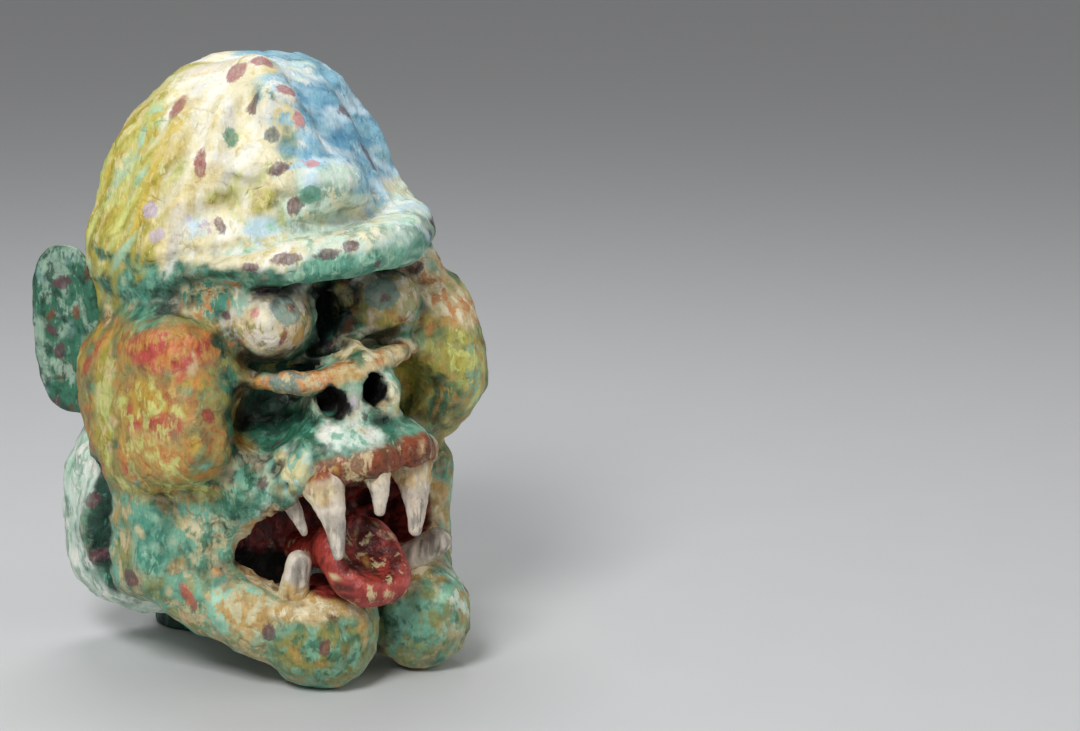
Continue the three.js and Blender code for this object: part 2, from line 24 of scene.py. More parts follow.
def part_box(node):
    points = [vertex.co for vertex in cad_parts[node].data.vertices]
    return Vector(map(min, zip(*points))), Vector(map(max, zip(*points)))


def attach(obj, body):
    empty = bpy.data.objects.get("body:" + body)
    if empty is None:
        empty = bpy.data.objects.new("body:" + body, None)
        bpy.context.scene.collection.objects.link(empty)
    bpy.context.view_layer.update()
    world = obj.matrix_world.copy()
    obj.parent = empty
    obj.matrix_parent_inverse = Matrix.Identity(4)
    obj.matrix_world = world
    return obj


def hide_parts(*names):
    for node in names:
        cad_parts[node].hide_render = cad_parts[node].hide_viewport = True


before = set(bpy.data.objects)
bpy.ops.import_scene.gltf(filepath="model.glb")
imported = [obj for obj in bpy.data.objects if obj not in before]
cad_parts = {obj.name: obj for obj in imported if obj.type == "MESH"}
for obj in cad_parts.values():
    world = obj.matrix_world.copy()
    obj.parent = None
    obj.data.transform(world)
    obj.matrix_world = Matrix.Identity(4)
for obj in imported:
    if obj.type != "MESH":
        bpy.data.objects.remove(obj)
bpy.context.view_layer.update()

LOG = logging.getLogger("mask")
MM = 0.001

Triple = tuple[float, float, float]
Quad = tuple[float, float, float, float]
Array = np.ndarray
Distance = Callable[[Array], Array]


class Paint(Enum):
    """The paints on the bench, as mixed, red, green and blue out of 255."""

    CREAM = 0xE6DEBC
    WHITE = 0xECEBE0
    BUTTER = 0xDBCB92
    YELLOW = 0xC6AE4C
    CITRON = 0xA99E42
    LIME = 0xC6CC7C
    MINT = 0xA0CBB0
    FROST = 0xCFE3D4
    SEA = 0x76AD94
    TEAL = 0x468874
    GREEN = 0x2F6A52
    FOREST = 0x163F30
    PINE = 0x0C241C
    SKY = 0x86B8CC
    BLUE = 0x5C97B8
    ICE = 0xC3DCE8
    PETROL = 0x6C8F8A
    SAGE = 0x93AE9B
    LILAC = 0xB9A9BE
    PLUM = 0x5A2C3B
    PRUNE = 0x3A1B27
    CRIMSON = 0x87202C
    RED = 0xB04A40
    PINK = 0xCB7F82
    ROSE = 0x96505C
    SLATE = 0x47565B
    ORANGE = 0xC57A3C
    OCHRE = 0xB68E48
    GOLD = 0xB8953C
    OLIVE = 0x8B8748
    BROWN = 0x6E3D1E
    RUST = 0x8A4324
    SAND = 0xCDB98D
    STONE = 0xD9CFC0
    BONE = 0xDCCDBB
    ASH = 0x8C857C
    SOOT = 0x3B3733
    BRICK = 0x98352D
    WINE = 0x4E1512
    BLACK = 0x0B0706
    BARE_PAPER = 0x9A8E7C
    BARE_GREY = 0x7E7A72

    def linear(self) -> Array:
        """The paint as linear light: red, green and blue from 0 to 1."""
        part = np.array([self.value >> 16 & 255, self.value >> 8 & 255, self.value & 255]) / 255
        return np.where(part <= 0.04045, part / 12.92, ((part + 0.055) / 1.055) ** 2.4)


P = Paint  # Short for the long lists of paints.

# Forms: distance functions of the masses.


@dataclass(frozen=True)
class Middled:
    """A form round a middle.

    Args:
        centre: its middle.
        half: half its size along its own three axes.
    """

    centre: Triple
    half: Triple

    def room(self) -> tuple[Triple, float]:
        """Middle and radius of a sphere that holds the form."""
        return self.centre, math.hypot(*self.half)


class Endless:
    """A form without an end."""

    def room(self) -> tuple[Triple, float]:
        """Middle and radius of a sphere that holds everything."""
        return (0.0, 0.0, 0.0), math.inf


@dataclass(frozen=True)
class Ball(Middled):
    """A rounded mass, a ball pressed towards a box as the power rises.

    Args:
        power: 2 is an ellipsoid, more is squarer.
        turns: turns about X, then Y, then Z, in degrees.
    """

    power: float = 2.0
    turns: Triple = (0.0, 0.0, 0.0)

    def distance(self, at: Array) -> Array:
        """Distance of the points to the mass.

        Args:
            at: points, one a row.

        Returns:
            The distance of each, negative inside.
        """
        q = np.abs(own_axes(at, self.centre, self.turns)) / np.array(self.half)
        if self.power == 2.0:
            level = np.sqrt((q * q).sum(1))
            slope = np.sqrt(((q / self.half) ** 2).sum(1)) / np.maximum(level, 1e-6)
        else:
            lower = np.maximum(q, 1e-9) ** (self.power - 1)
            level = np.maximum((lower * q).sum(1), 1e-9) ** (1 / self.power)
            slope = np.sqrt(((lower / self.half) ** 2).sum(1))
            slope = slope * level ** (1 - self.power)
        return (level - 1) / np.maximum(slope, 1e-6)


@dataclass(frozen=True)
class Tube:
    """A roll of paper along a bent line.

    Args:
        points: x, y, z and the roll's radius at each point of the line.
    """

    points: tuple[Quad, ...]

    def room(self) -> tuple[Triple, float]:
        """A sphere that holds the roll.

        Returns:
            The middle and the radius.
        """
        line = np.array(self.points)
        centre = (line[:, :3].min(0) + line[:, :3].max(0)) / 2
        far = np.linalg.norm(line[:, :3] - centre, axis=1) + line[:, 3]
        return tuple(centre), float(far.max())

    def distance(self, at: Array) -> Array:
        """Distance of the points to the roll.

        Args:
            at: points, one a row.

        Returns:
            The distance of each, negative inside.
        """
        best = np.full(len(at), 1e9)
        for first, second in itertools.pairwise(self.points):
            a, along = np.array(first[:3]), np.subtract(second[:3], first[:3])
            t = np.clip((at - a) @ along / (along @ along), 0, 1)
            gap = np.linalg.norm(at - a - t[:, None] * along, axis=1)
            best = np.minimum(best, gap - first[3] - (second[3] - first[3]) * t)
        return best


@dataclass(frozen=True)
class Slab(Middled):
    """A box with rounded edges.

    Args:
        edge: radius of its edges.
    """

    edge: float

    def distance(self, at: Array) -> Array:
        """Distance of the points to the box, negative inside it."""
        q = np.abs(at - np.array(self.centre)) - np.array(self.half) + self.edge
        return np.linalg.norm(np.maximum(q, 0), axis=1) + np.minimum(q.max(1), 0) - self.edge


@dataclass(frozen=True)
class Plane(Endless):
    """All that lies past a flat.

    Args:
        normal: the way that the side taken lies.
        offset: distance of the flat from the origin along the normal.
    """

    normal: Triple
    offset: float

    def distance(self, at: Array) -> Array:
        """Distance of the points to the side taken, negative in it."""
        return self.offset - at @ np.array(self.normal)


@dataclass(frozen=True)
class Depth(Endless):
    """All that lies deep enough in a body.

    Args:
        body: the body, anything with a distance.
        depth: how deep.
    """

    body: "Sculpture"
    depth: float

    def distance(self, at: Array) -> Array:
        """Distance of the points to that depth, negative past it."""
        return self.body.distance(at) + self.depth


Form = Ball | Tube | Slab | Plane | Depth
EVERYWHERE = Plane((0.0, 0.0, 1.0), -1000.0)


def own_axes(at: Array, centre: Triple, turns: Triple) -> Array:
    """Points in a mass's own axes.

    Args:
        at: points, one a row.
        centre: the mass's middle.
        turns: its turns about X, Y and Z, in degrees.

    Returns:
        The points from the centre, along the turned axes.
    """
    q = at - np.array(centre, float)
    if not any(turns):
        return q
    turn = Matrix.Identity(3)
    for angle, axis in zip(turns, "XYZ"):
        turn = Matrix.Rotation(math.radians(angle), 3, axis) @ turn
    return q @ np.array(turn)


def melt(a: Array, b: Array, blend: float) -> Array:
    """The lesser of two distances, with the fold between them rounded off.

    Args:
        a: one distance at each point.
        b: the other.
        blend: width of the rounding.

    Returns:
        The joined distance at each point.
    """
    h = np.maximum(blend - np.abs(a - b), 0) / blend
    return np.minimum(a, b) - h * h * blend / 4


def press(a: Array, b: Array, blend: float) -> Array:
    """The greater of two distances, with the edge between them rounded off."""
    return -melt(-a, -b, blend)


class Way(Enum):
    """How a mass meets the ones before it."""

    ADD = 1
    CUT = -1


@dataclass(frozen=True)
class Mass:
    """One mass of a sculpture.

    Args:
        way: whether it is laid on or pressed in.
        blend: how wide the fold or the edge round it is rounded off.
        form: its form.
    """

    way: Way
    blend: float
    form: Form


def add(blend: float, form: Form) -> Mass:
    """A mass laid on."""
    return Mass(Way.ADD, blend, form)


def cut(blend: float, form: Form) -> Mass:
    """A mass pressed in."""
    return Mass(Way.CUT, blend, form)


@dataclass(frozen=True)
class Sculpture:
    """Masses joined in order.

    Args:
        masses: the masses by name.
        spare: how much farther than its blend a mass is still looked at.
    """

    masses: dict[str, Mass]
    spare: float = 25.0

    def distance(self, at: Array) -> Array:
        """Distance of the points to the joined masses.

        A mass is left out where it is too far off to change the distance there.

        Args:
            at: points, one a row.

        Returns:
            The distance of each, negative inside.
        """
        d = np.full(len(at), 1e3)
        for mass in self.masses.values():
            centre, radius = mass.form.room()
            gap = np.linalg.norm(at - np.array(centre), axis=1) - radius
            near = gap < np.abs(d) + mass.blend + self.spare
            if not near.any():
                continue
            own = mass.form.distance(at[near])
            if mass.way is Way.ADD:
                d[near] = melt(d[near], own, mass.blend)
            else:
                d[near] = press(d[near], -own, mass.blend)
        return d

    def only(self, names: Iterable[str]) -> "Sculpture":
        """The sculpture with only the named masses."""
        return Sculpture({name: self.masses[name] for name in names})


# Noise on a lattice, so that every run gives the same surface.


def scramble(cell: Array, seed: int) -> Array:
    """Three numbers from -1 to 1 for each lattice point.

    Args:
        cell: whole-number lattice points, one a row.
        seed: picks one of many lattices.

    Returns:
        An array of the same shape.
    """
    n = cell.astype(np.uint32)
    h = n[:, 0] * np.uint32(73856093) ^ n[:, 1] * np.uint32(19349663)
    h = h ^ n[:, 2] * np.uint32(83492791) ^ np.uint32(seed * 2654435 + 97)
    out = []
    for _ in range(3):
        h = (h ^ (h >> np.uint32(15))) * np.uint32(2246822519)
        h = (h ^ (h >> np.uint32(13))) * np.uint32(3266489917)
        h = h ^ (h >> np.uint32(16))
        out.append(h / 2147483648.0 - 1.0)
    return np.stack(out, 1)


def waves(at: Array, size: float, seed: int) -> Array:
    """Smooth noise from about -1 to 1.

    Args:
        at: points, one a row.
        size: distance between lattice points.
        seed: picks one of many lattices.

    Returns:
        A number for each point.
    """
    q = at / size
    cell = np.floor(q)
    part = q - cell
    ease = part ** 3 * (part * (part * 6 - 15) + 10)
    total = np.zeros(len(at))
    for corner in itertools.product((0, 1), repeat=3):
        tilt = scramble((cell + corner).astype(np.int64), seed)
        weight = np.prod(np.where(corner, ease, 1 - ease), axis=1)
        total += weight * ((part - corner) * tilt).sum(1)
    return total * 1.6


def creases(at: Array, size: float, seed: int) -> Array:
    """Noise with sharp valleys, from 0 in a crease to about 1 between them."""
    return np.minimum(np.abs(waves(at, size, seed)) * 2.2, 1.0)


def ease_between(value: Array, low: float, high: float) -> Array:
    """A soft step from 0 at low to 1 at high."""
    t = np.clip((value - low) / (high - low), 0, 1)
    return t * t * (3 - 2 * t)


# Skins: meshes of a distance.


@dataclass
class Skin:
    """A mesh under way: points in the maker's millimetres, and the faces that use them."""

    points: Array
    faces: Array
    normals: Array = field(default_factory=lambda: np.zeros((0, 3)))

    def volume(self) -> float:
        """Volume inside the skin, negative if its faces look inward."""
        a, b, c, d = (self.points[self.faces[:, i]] for i in range(4))
        return float((a * np.cross(b, c) + a * np.cross(c, d)).sum() / 6)

    def turn_normals(self) -> None:
        """Works out the direction of the surface at every point from the faces round it."""
        a, b, c, d = (self.points[self.faces[:, i]] for i in range(4))
        across = np.cross(c - a, d - b)
        self.normals = np.zeros_like(self.points)
        for i in range(4):
            np.add.at(self.normals, self.faces[:, i], across)
        self.normals = unit(self.normals)


def slopes(distance: Distance, at: Array, reach: float) -> Array:
    """The direction in which a distance grows, with its rate.

    Args:
        distance: the distance function.
        at: points, one a row.
        reach: how far apart it is measured.

    Returns:
        One vector a point.
    """
    out = np.zeros_like(at)
    for axis in range(3):
        step = np.zeros(3)
        step[axis] = reach
        out[:, axis] = (distance(at + step) - distance(at - step)) / (2 * reach)
    return out


def unit(v: Array) -> Array:
    """Vectors at length one."""
    return v / np.maximum(np.linalg.norm(v, axis=-1, keepdims=True), 1e-9)


def skin_of(distance: Distance, low: Triple, high: Triple, step: float) -> Skin:
    """Meshes the surface where a distance is zero.

    The distance is measured on a coarse grid first and on the fine one only near the surface.

    Args:
        distance: the distance function.
        low: lowest corner of the space that holds the surface.
        high: its highest corner.
        step: size of the mesh's faces.

    Returns:
        The skin, with its faces looking outward.
    """
    coarse = 4
    cells = [int(math.ceil((h - l) / step / coarse)) + 1 for l, h in zip(low, high)]
    axes = [l + np.arange(n) * step * coarse for l, n in zip(low, cells)]
    grid = np.stack(np.meshgrid(*axes, indexing="ij"), -1).reshape(-1, 3)
    rough = distance(grid + step * (coarse - 1) / 2)
    value = np.repeat(rough, coarse ** 3).reshape(*cells, coarse, coarse, coarse)
    near = np.abs(rough) < step * coarse * 1.4
    inner = np.stack(np.meshgrid(*[np.arange(coarse) * step] * 3, indexing="ij"), -1)
    fine = (grid[near][:, None] + inner.reshape(1, -1, 3)).reshape(-1, 3)
    value.reshape(-1, coarse ** 3)[near] = distance(fine).reshape(-1, coarse ** 3)
    value = value.transpose(0, 3, 1, 4, 2, 5).reshape([n * coarse for n in cells])
    volume = openvdb.FloatGrid(background=step * 8)
    volume.copyFromArray(np.ascontiguousarray(value, np.float32))
    points, _, faces = volume.convertToPolygons(isovalue=0.0, adaptivity=0.0)
    skin = Skin(points.astype(float) * step + np.array(low), faces.astype(np.int64))
    if skin.volume() < 0:
        skin.faces = skin.faces[:, ::-1]
    skin.turn_normals()
    return skin


# Where things lie in the photograph.


@dataclass(frozen=True)
class PhotoView:
    """One of the photograph's two views of the mask, as a camera.

    Args:
        azimuth: degrees round the mask.
        elevation: degrees above the level.
        pixel: where the point looked at lies in the 1080 x 731 frame.
        distance: distance of the camera in millimetres.
        focal: focal length in pixels.
        look_at: the point looked at.
        ahead: how far before that point the search for the surface starts.
        strides: how many steps the search takes.
        caution: share of the distance to the surface that a step takes.
        limits: longest step back and longest step on.
    """

    azimuth: float
    elevation: float
    pixel: tuple[float, float]
    distance: float = 2320.0
    focal: float = 3016.0
    look_at: Triple = (0.0, 0.0, 230.0)
    ahead: float = 330.0
    strides: int = 110
    caution: float = 0.6
    limits: tuple[float, float] = (-3.0, 25.0)

    def axes(self) -> tuple[Array, Array, Array]:
        """The view's own axes.

        Returns:
            The ways back to the camera, to the right and up, as unit vectors.
        """
        a, e = math.radians(self.azimuth), math.radians(self.elevation)
        back = np.array([math.sin(a) * math.cos(e), -math.cos(a) * math.cos(e), math.sin(e)])
        right = np.array([math.cos(a), math.sin(a), 0.0])
        return back, right, np.cross(back, right)

    def eye(self) -> Array:
        """The camera's place."""
        return np.array(self.look_at) + self.axes()[0] * self.distance

    def touch(self, pixels: Array, distance: Distance) -> Array:
        """Follows the pixels' rays to the surface.

        Args:
            pixels: x and y in the photograph's frame, one pair a row.
            distance: the distance function of the surface.

        Returns:
            The points where the rays first meet it.
        """
        back, right, up = self.axes()
        side = (pixels[:, :1] - self.pixel[0]) / self.focal
        rise = (self.pixel[1] - pixels[:, 1:]) / self.focal
        ray = unit(-back + side * right + rise * up)
        at = self.eye() + ray * (self.distance - self.ahead)
        for _ in range(self.strides):
            at = at + ray * np.clip(distance(at) * self.caution, *self.limits)[:, None]
        return at


LEFT_VIEW = PhotoView(azimuth=-30.0, elevation=12.0, pixel=(246.0, 337.0))
RIGHT_VIEW = PhotoView(azimuth=52.0, elevation=12.0, pixel=(847.0, 340.0))


def touched(marks: list["Wrinkle | Mark"], distance: Distance) -> list[Array]:
    """Finds where marks seen in the photograph lie on a surface.

    Args:
        marks: wrinkles, patches or dabs, each with its view and its line of pixels.
        distance: the distance function of the surface.

    Returns:
        The points of each mark, in the marks' order.
    """
    found: dict[int, Array] = {}
    for view in (LEFT_VIEW, RIGHT_VIEW):
        mine = [i for i, mark in enumerate(marks) if mark.view is view]
        if mine:
            lines = [marks[i].line() for i in mine]
            spots = view.touch(np.concatenate(lines), distance)
            ends = np.cumsum([len(line) for line in lines])[:-1]
            found.update(zip(mine, np.split(spots, ends)))
    return [found[i] for i in range(len(marks))]


@dataclass(frozen=True)
class Wrinkle:
    """A ridge or a groove that can be followed in the photograph.

    Args:
        view: the view that shows it.
        way: a ridge laid on or a groove pressed in.
        radius: radius of its roll.
        height: how far it stands out, or how deep it goes.
        pixels: its line in the photograph's frame.
        blend: width of the rounding beside it.
        thin: radius at its ends against that of its middle.
    """

    view: PhotoView
    way: Way
    radius: float
    height: float
    pixels: tuple[tuple[float, float], ...]
    blend: float = 7.0
    thin: float = 0.6

    def line(self) -> Array:
        """Its pixels, one a row."""
        return np.array(self.pixels, float)

    def mass(self, spots: Array, normals: Array) -> Mass:
        """The wrinkle as a mass on the surface.

        Args:
            spots: where its pixels lie on the surface.
            normals: the surface's directions there.

        Returns:
            A bent roll that thins out at both ends.
        """
        middle = spots - normals * (self.radius - self.height) * self.way.value
        thick = np.full(len(middle), float(self.radius))
        thick[[0, -1]] *= self.thin
        points = tuple((*map(float, at), float(r)) for at, r in zip(middle, thick))
        return Mass(self.way, self.blend, Tube(points))


# Paint.


@dataclass(frozen=True)
class Brush:
    """How a coat is put on.

    Args:
        length: half the length of a stroke.
        width: half its width.
        way: the direction that strokes follow over the surface.
        stray: how far, in degrees, they leave it.
        cover: strokes for each 1000 square millimetres.
    """

    length: float = 9.0
    width: float = 4.5
    way: Triple = (0.0, 0.0, 1.0)
    stray: float = 60.0
    cover: float = 3.0


@dataclass(frozen=True)
class Coat:
    """One area of paint.

    Args:
        forms: the area is where all these forms overlap.
        paints: the ground and the paints dabbed on it, from the commonest to the rarest.
        shares: how much of the dabs each of the further paints takes.
        reach: how far the paint runs past the forms.
        edge: width of its soft edge.
        brush: how it is put on.
    """

    forms: tuple[Form, ...]
    paints: tuple[Paint, ...]
    shares: tuple[float, ...]
    reach: float = 0.0
    edge: float = 8.0
    brush: Brush = Brush()

    def mottle(self, place: int) -> float:
        """How much of the ground the second or the third paint breaks up, from 0 to 1."""
        return 0.5 * self.shares[place] if place < len(self.shares) else 0.0

    def cover(self, at: Array, ragged: Array) -> Array:
        """How much of the coat lies at each point.

        Args:
            at: points, one a row.
            ragged: how far a wide edge wanders at each of them.

        Returns:
            Shares from 0 to 1.
        """
        d = np.full(len(at), -1e3)
        for form in self.forms:
            d = np.maximum(d, form.distance(at))
        wander = ragged * min(1.0, self.edge / 7)
        return ease_between(self.reach - d + wander, -self.edge / 2, self.edge / 2)


@dataclass(frozen=True)
class Mark:
    """A mark of paint that can be told in the photograph.

    Args:
        view: the view that shows it.
        pixel: its middle in the photograph's frame.
        half: half its two sizes in millimetres.
    """

    view: PhotoView
    pixel: tuple[float, float]
    half: tuple[float, float]

    def line(self) -> Array:
        """Its pixel, as the only row."""
        return np.array([self.pixel], float)


@dataclass(frozen=True)
class Patch(Mark):
    """A soft patch, its width and height given by half.

    Args:
        paints: as in a coat.
        shares: as in a coat.
    """

    paints: tuple[Paint, ...]
    shares: tuple[float, ...]

    def coat(self, spot: Array) -> Coat:
        """The patch as a coat.

        Args:
            spot: its middle on the surface.

        Returns:
            A soft-edged coat round that point.
        """
        size = (self.half[0], self.half[0], self.half[1])
        edge = min(self.half) * 0.9
        return Coat((Ball(tuple(spot), size),), self.paints, self.shares, 0.0, edge,
                    Brush(6, 3.2, stray=85, cover=6))


@dataclass(frozen=True)
class Dab(Mark):
    """A crisp dab, its length and width given by half.

    Args:
        lean: how far its length leans from upright, clockwise, in degrees.
        paint: its colour.
    """

    lean: float
    paint: Paint


def seen(kind: type, left: dict[str, tuple], right: dict[str, tuple]) -> list:
    """Makes wrinkles, patches or dabs of what a table names.

    Args:
        kind: the class of them all.
        left: what the left view shows, by name, without the view itself.
        right: what the right view shows.

    Returns:
        One of that class for each name.
    """
    return [kind(view, *row)
            for view, rows in ((LEFT_VIEW, left), (RIGHT_VIEW, right)) for row in rows.values()]


class Painter:
    """Paints a skin: ground colours, soft strokes, crisp dabs, where painted shade and wear lie."""

    # The smallest stroke against its brush, and how much bigger the biggest is.
    small, growth = 0.55, 0.9
    # The darkest shade of a paint, and how much lighter the lightest is.
    dark, lightening = 0.86, 0.3
    # How much of the ground a soft stroke hides.
    body = 0.8
    # Painted shade in narrow and wide folds: how far across each is looked for, and its weight.
    fold_sizes = ((5.0, 0.75), (16.0, 0.4))

    def __init__(self, skin: Skin, distance: Distance, seed: int) -> None:
        """Sets the skin up for painting.

        Args:
            skin: the mesh.
            distance: the distance function it was made from.
            seed: fixes the order of the strokes.
        """
        self.skin = skin
        self.distance = distance
        self.draw = np.random.default_rng(seed)
        count = len(skin.points)
        self.colours = {name: np.zeros((count, 3))
                        for name in ("ground", "second", "third", "dab_paint")}
        self.mottle = np.zeros((count, 2))
        self.dab_gap = np.full(count, 9.0)
        self.coat_of = np.zeros(count, int)
        self.tree = KDTree(count)
        for i, p in enumerate(skin.points):
            self.tree.insert(p, i)
        self.tree.balance()

    def lay(self, coats: list[Coat]) -> None:
        """Lays the coats' ground colours in order, then their strokes.

        Args:
            coats: the areas of paint, the lowest first.
        """
        at = self.skin.points
        ragged = waves(at, 17.0, 5) * 4.0 + waves(at, 6.0, 6) * 2.0
        for i, coat in enumerate(coats):
            weight = coat.cover(at, ragged)
            paints = [coat.paints[min(k, len(coat.paints) - 1)].linear() for k in range(3)]
            for layer, paint in zip(self.colours.values(), paints):
                layer += (paint - layer) * weight[:, None]
            for k in range(2):
                self.mottle[:, k] += (coat.mottle(k) - self.mottle[:, k]) * weight
            self.coat_of[weight > 0.5] = i
        self.stroke(coats)

    def stroke(self, coats: list[Coat]) -> None:
        """Scatters every coat's strokes over its area.

        Args:
            coats: the areas of paint, the lowest first.
        """
        at, faces = self.skin.points, self.skin.faces
        a, b, c = (at[faces[:, i]] for i in range(3))
        area = np.linalg.norm(np.cross(b - a, c - a), axis=1)
        each = np.zeros(len(at))
        np.add.at(each, faces[:, 0], area)
        rate = np.array([coat.brush.cover for coat in coats])[self.coat_of] * each / 1000
        count = int(rate.sum())
        picks = self.draw.choice(len(at), size=count, p=rate / rate.sum())
        turns, sizes, dice = self.draw.random((3, count))
        for i, turn, size, die in zip(picks, turns, sizes, dice):
            coat = coats[self.coat_of[i]]
            colour = self.pick(coat, die)
            brush = coat.brush
            angle = math.radians((turn * 2 - 1) * brush.stray)
            grow = self.small + self.growth * size
            half = (brush.length * grow, brush.width * grow)
            self.soft(i, brush.way, angle, half, colour)

    def pick(self, coat: Coat, die: float) -> Array:
        """Picks one of a coat's paints by its share, a little lighter or darker.

        Args:
            coat: the coat.
            die: a number from 0 to 1 that decides.

        Returns:
            The colour.
        """
        shares = np.cumsum((1.0,) + coat.shares)
        place = int(np.searchsorted(shares / shares[-1], die))
        shade = self.dark + self.lightening * (die * 7919 % 1)
        return coat.paints[place].linear() * shade

    def local(self, spot: Array, normal: Array, way: Triple, angle: float,
              half: tuple[float, float]) -> tuple[Array, Array]:
        """Finds the points near a stroke and their distance to it.

        Args:
            spot: the stroke's middle.
            normal: the surface's direction there.
            way: the direction that the stroke follows.
            angle: how far it is turned from that, in radians.
            half: half its length and width.

        Returns:
            The points' numbers and their distances, negative inside the stroke.
        """
        near = self.tree.find_range(spot, max(half) * 1.25 + 5.0)
        ids = np.array([i for _, i, _ in near], int)
        if not len(ids):
            return ids, np.zeros(0)
        along = np.array(way) - np.array(way) @ normal * normal
        if np.linalg.norm(along) < 0.2:
            along = np.cross(normal, (0.3, 1.0, 0.2))
        along = unit(along)
        across = np.cross(normal, along)
        along, across = (along * math.cos(angle) + across * math.sin(angle),
                         across * math.cos(angle) - along * math.sin(angle))
        q = self.skin.points[ids] - spot
        u, v = q @ along / half[0], q @ across / half[1]
        w = q @ normal / (max(half) * 0.8)
        return ids, (np.sqrt(u * u + v * v + w * w) - 1) * half[1]

    def soft(self, i: int, way: Triple, angle: float, half: tuple[float, float],
             colour: Array) -> None:
        """Lays a stroke that blends into the ground.

        Args:
            i: number of the skin's point at its middle.
            way: the direction that it follows.
            angle: how far it is turned from that, in radians.
            half: half its length and width.
            colour: its colour.
        """
        ids, gap = self.local(self.skin.points[i], self.skin.normals[i], way, angle, half)
        weight = ease_between(-gap, -1.2, 1.8)[:, None] * self.body
        self.colours["ground"][ids] += (colour - self.colours["ground"][ids]) * weight

    def crisp(self, spot: Array, normal: Array, way: Triple, half: tuple[float, float],
              colour: Array) -> None:
        """Lays a dab with an edge of its own, on top of what is there.

        Args:
            spot: the dab's middle.
            normal: the surface's direction there.
            way: the direction of its length.
            half: half its length and width.
            colour: its colour.
        """
        ids, gap = self.local(spot, normal, way, 0.0, half)
        on_top = (gap < 0) | (gap < self.dab_gap[ids])
        ids, gap = ids[on_top], gap[on_top]
        self.dab_gap[ids] = gap
        self.colours["dab_paint"][ids] = colour

    def dab(self, dabs: list[Dab], distance: Distance) -> None:
        """Puts on the dabs that can be told in the photograph.

        Args:
            dabs: the dabs, the lowest first.
            distance: the surface that they are aimed at.
        """
        spots = np.concatenate(touched(dabs, distance))
        normals = unit(slopes(distance, spots, 1.0))
        for dab, spot, normal in zip(dabs, spots, normals):
            right, up = dab.view.axes()[1:]
            lean = math.radians(dab.lean)
            way = tuple(up * math.cos(lean) + right * math.sin(lean))
            self.crisp(spot, normal, way, dab.half, dab.paint.linear())

    def folds(self) -> Array:
        """How deep each point lies in narrow folds and in wide ones, as its painted shade."""
        return sum(self.hollows(reach) * share for reach, share in self.fold_sizes)

    def hollows(self, reach: float) -> Array:
        """How deep each point lies in a fold, from 0 to about 1."""
        out = self.distance(self.skin.points + self.skin.normals * reach)
        return np.clip(1 - out / reach, 0, 1)

    def ridges(self, reach: float) -> Array:
        """How far each point stands out on an edge, from 0 to about 1."""
        inside = self.distance(self.skin.points - self.skin.normals * reach)
        return np.clip(1 + inside / reach, 0, 1)


# What the photograph shows of the head, the lowest first.

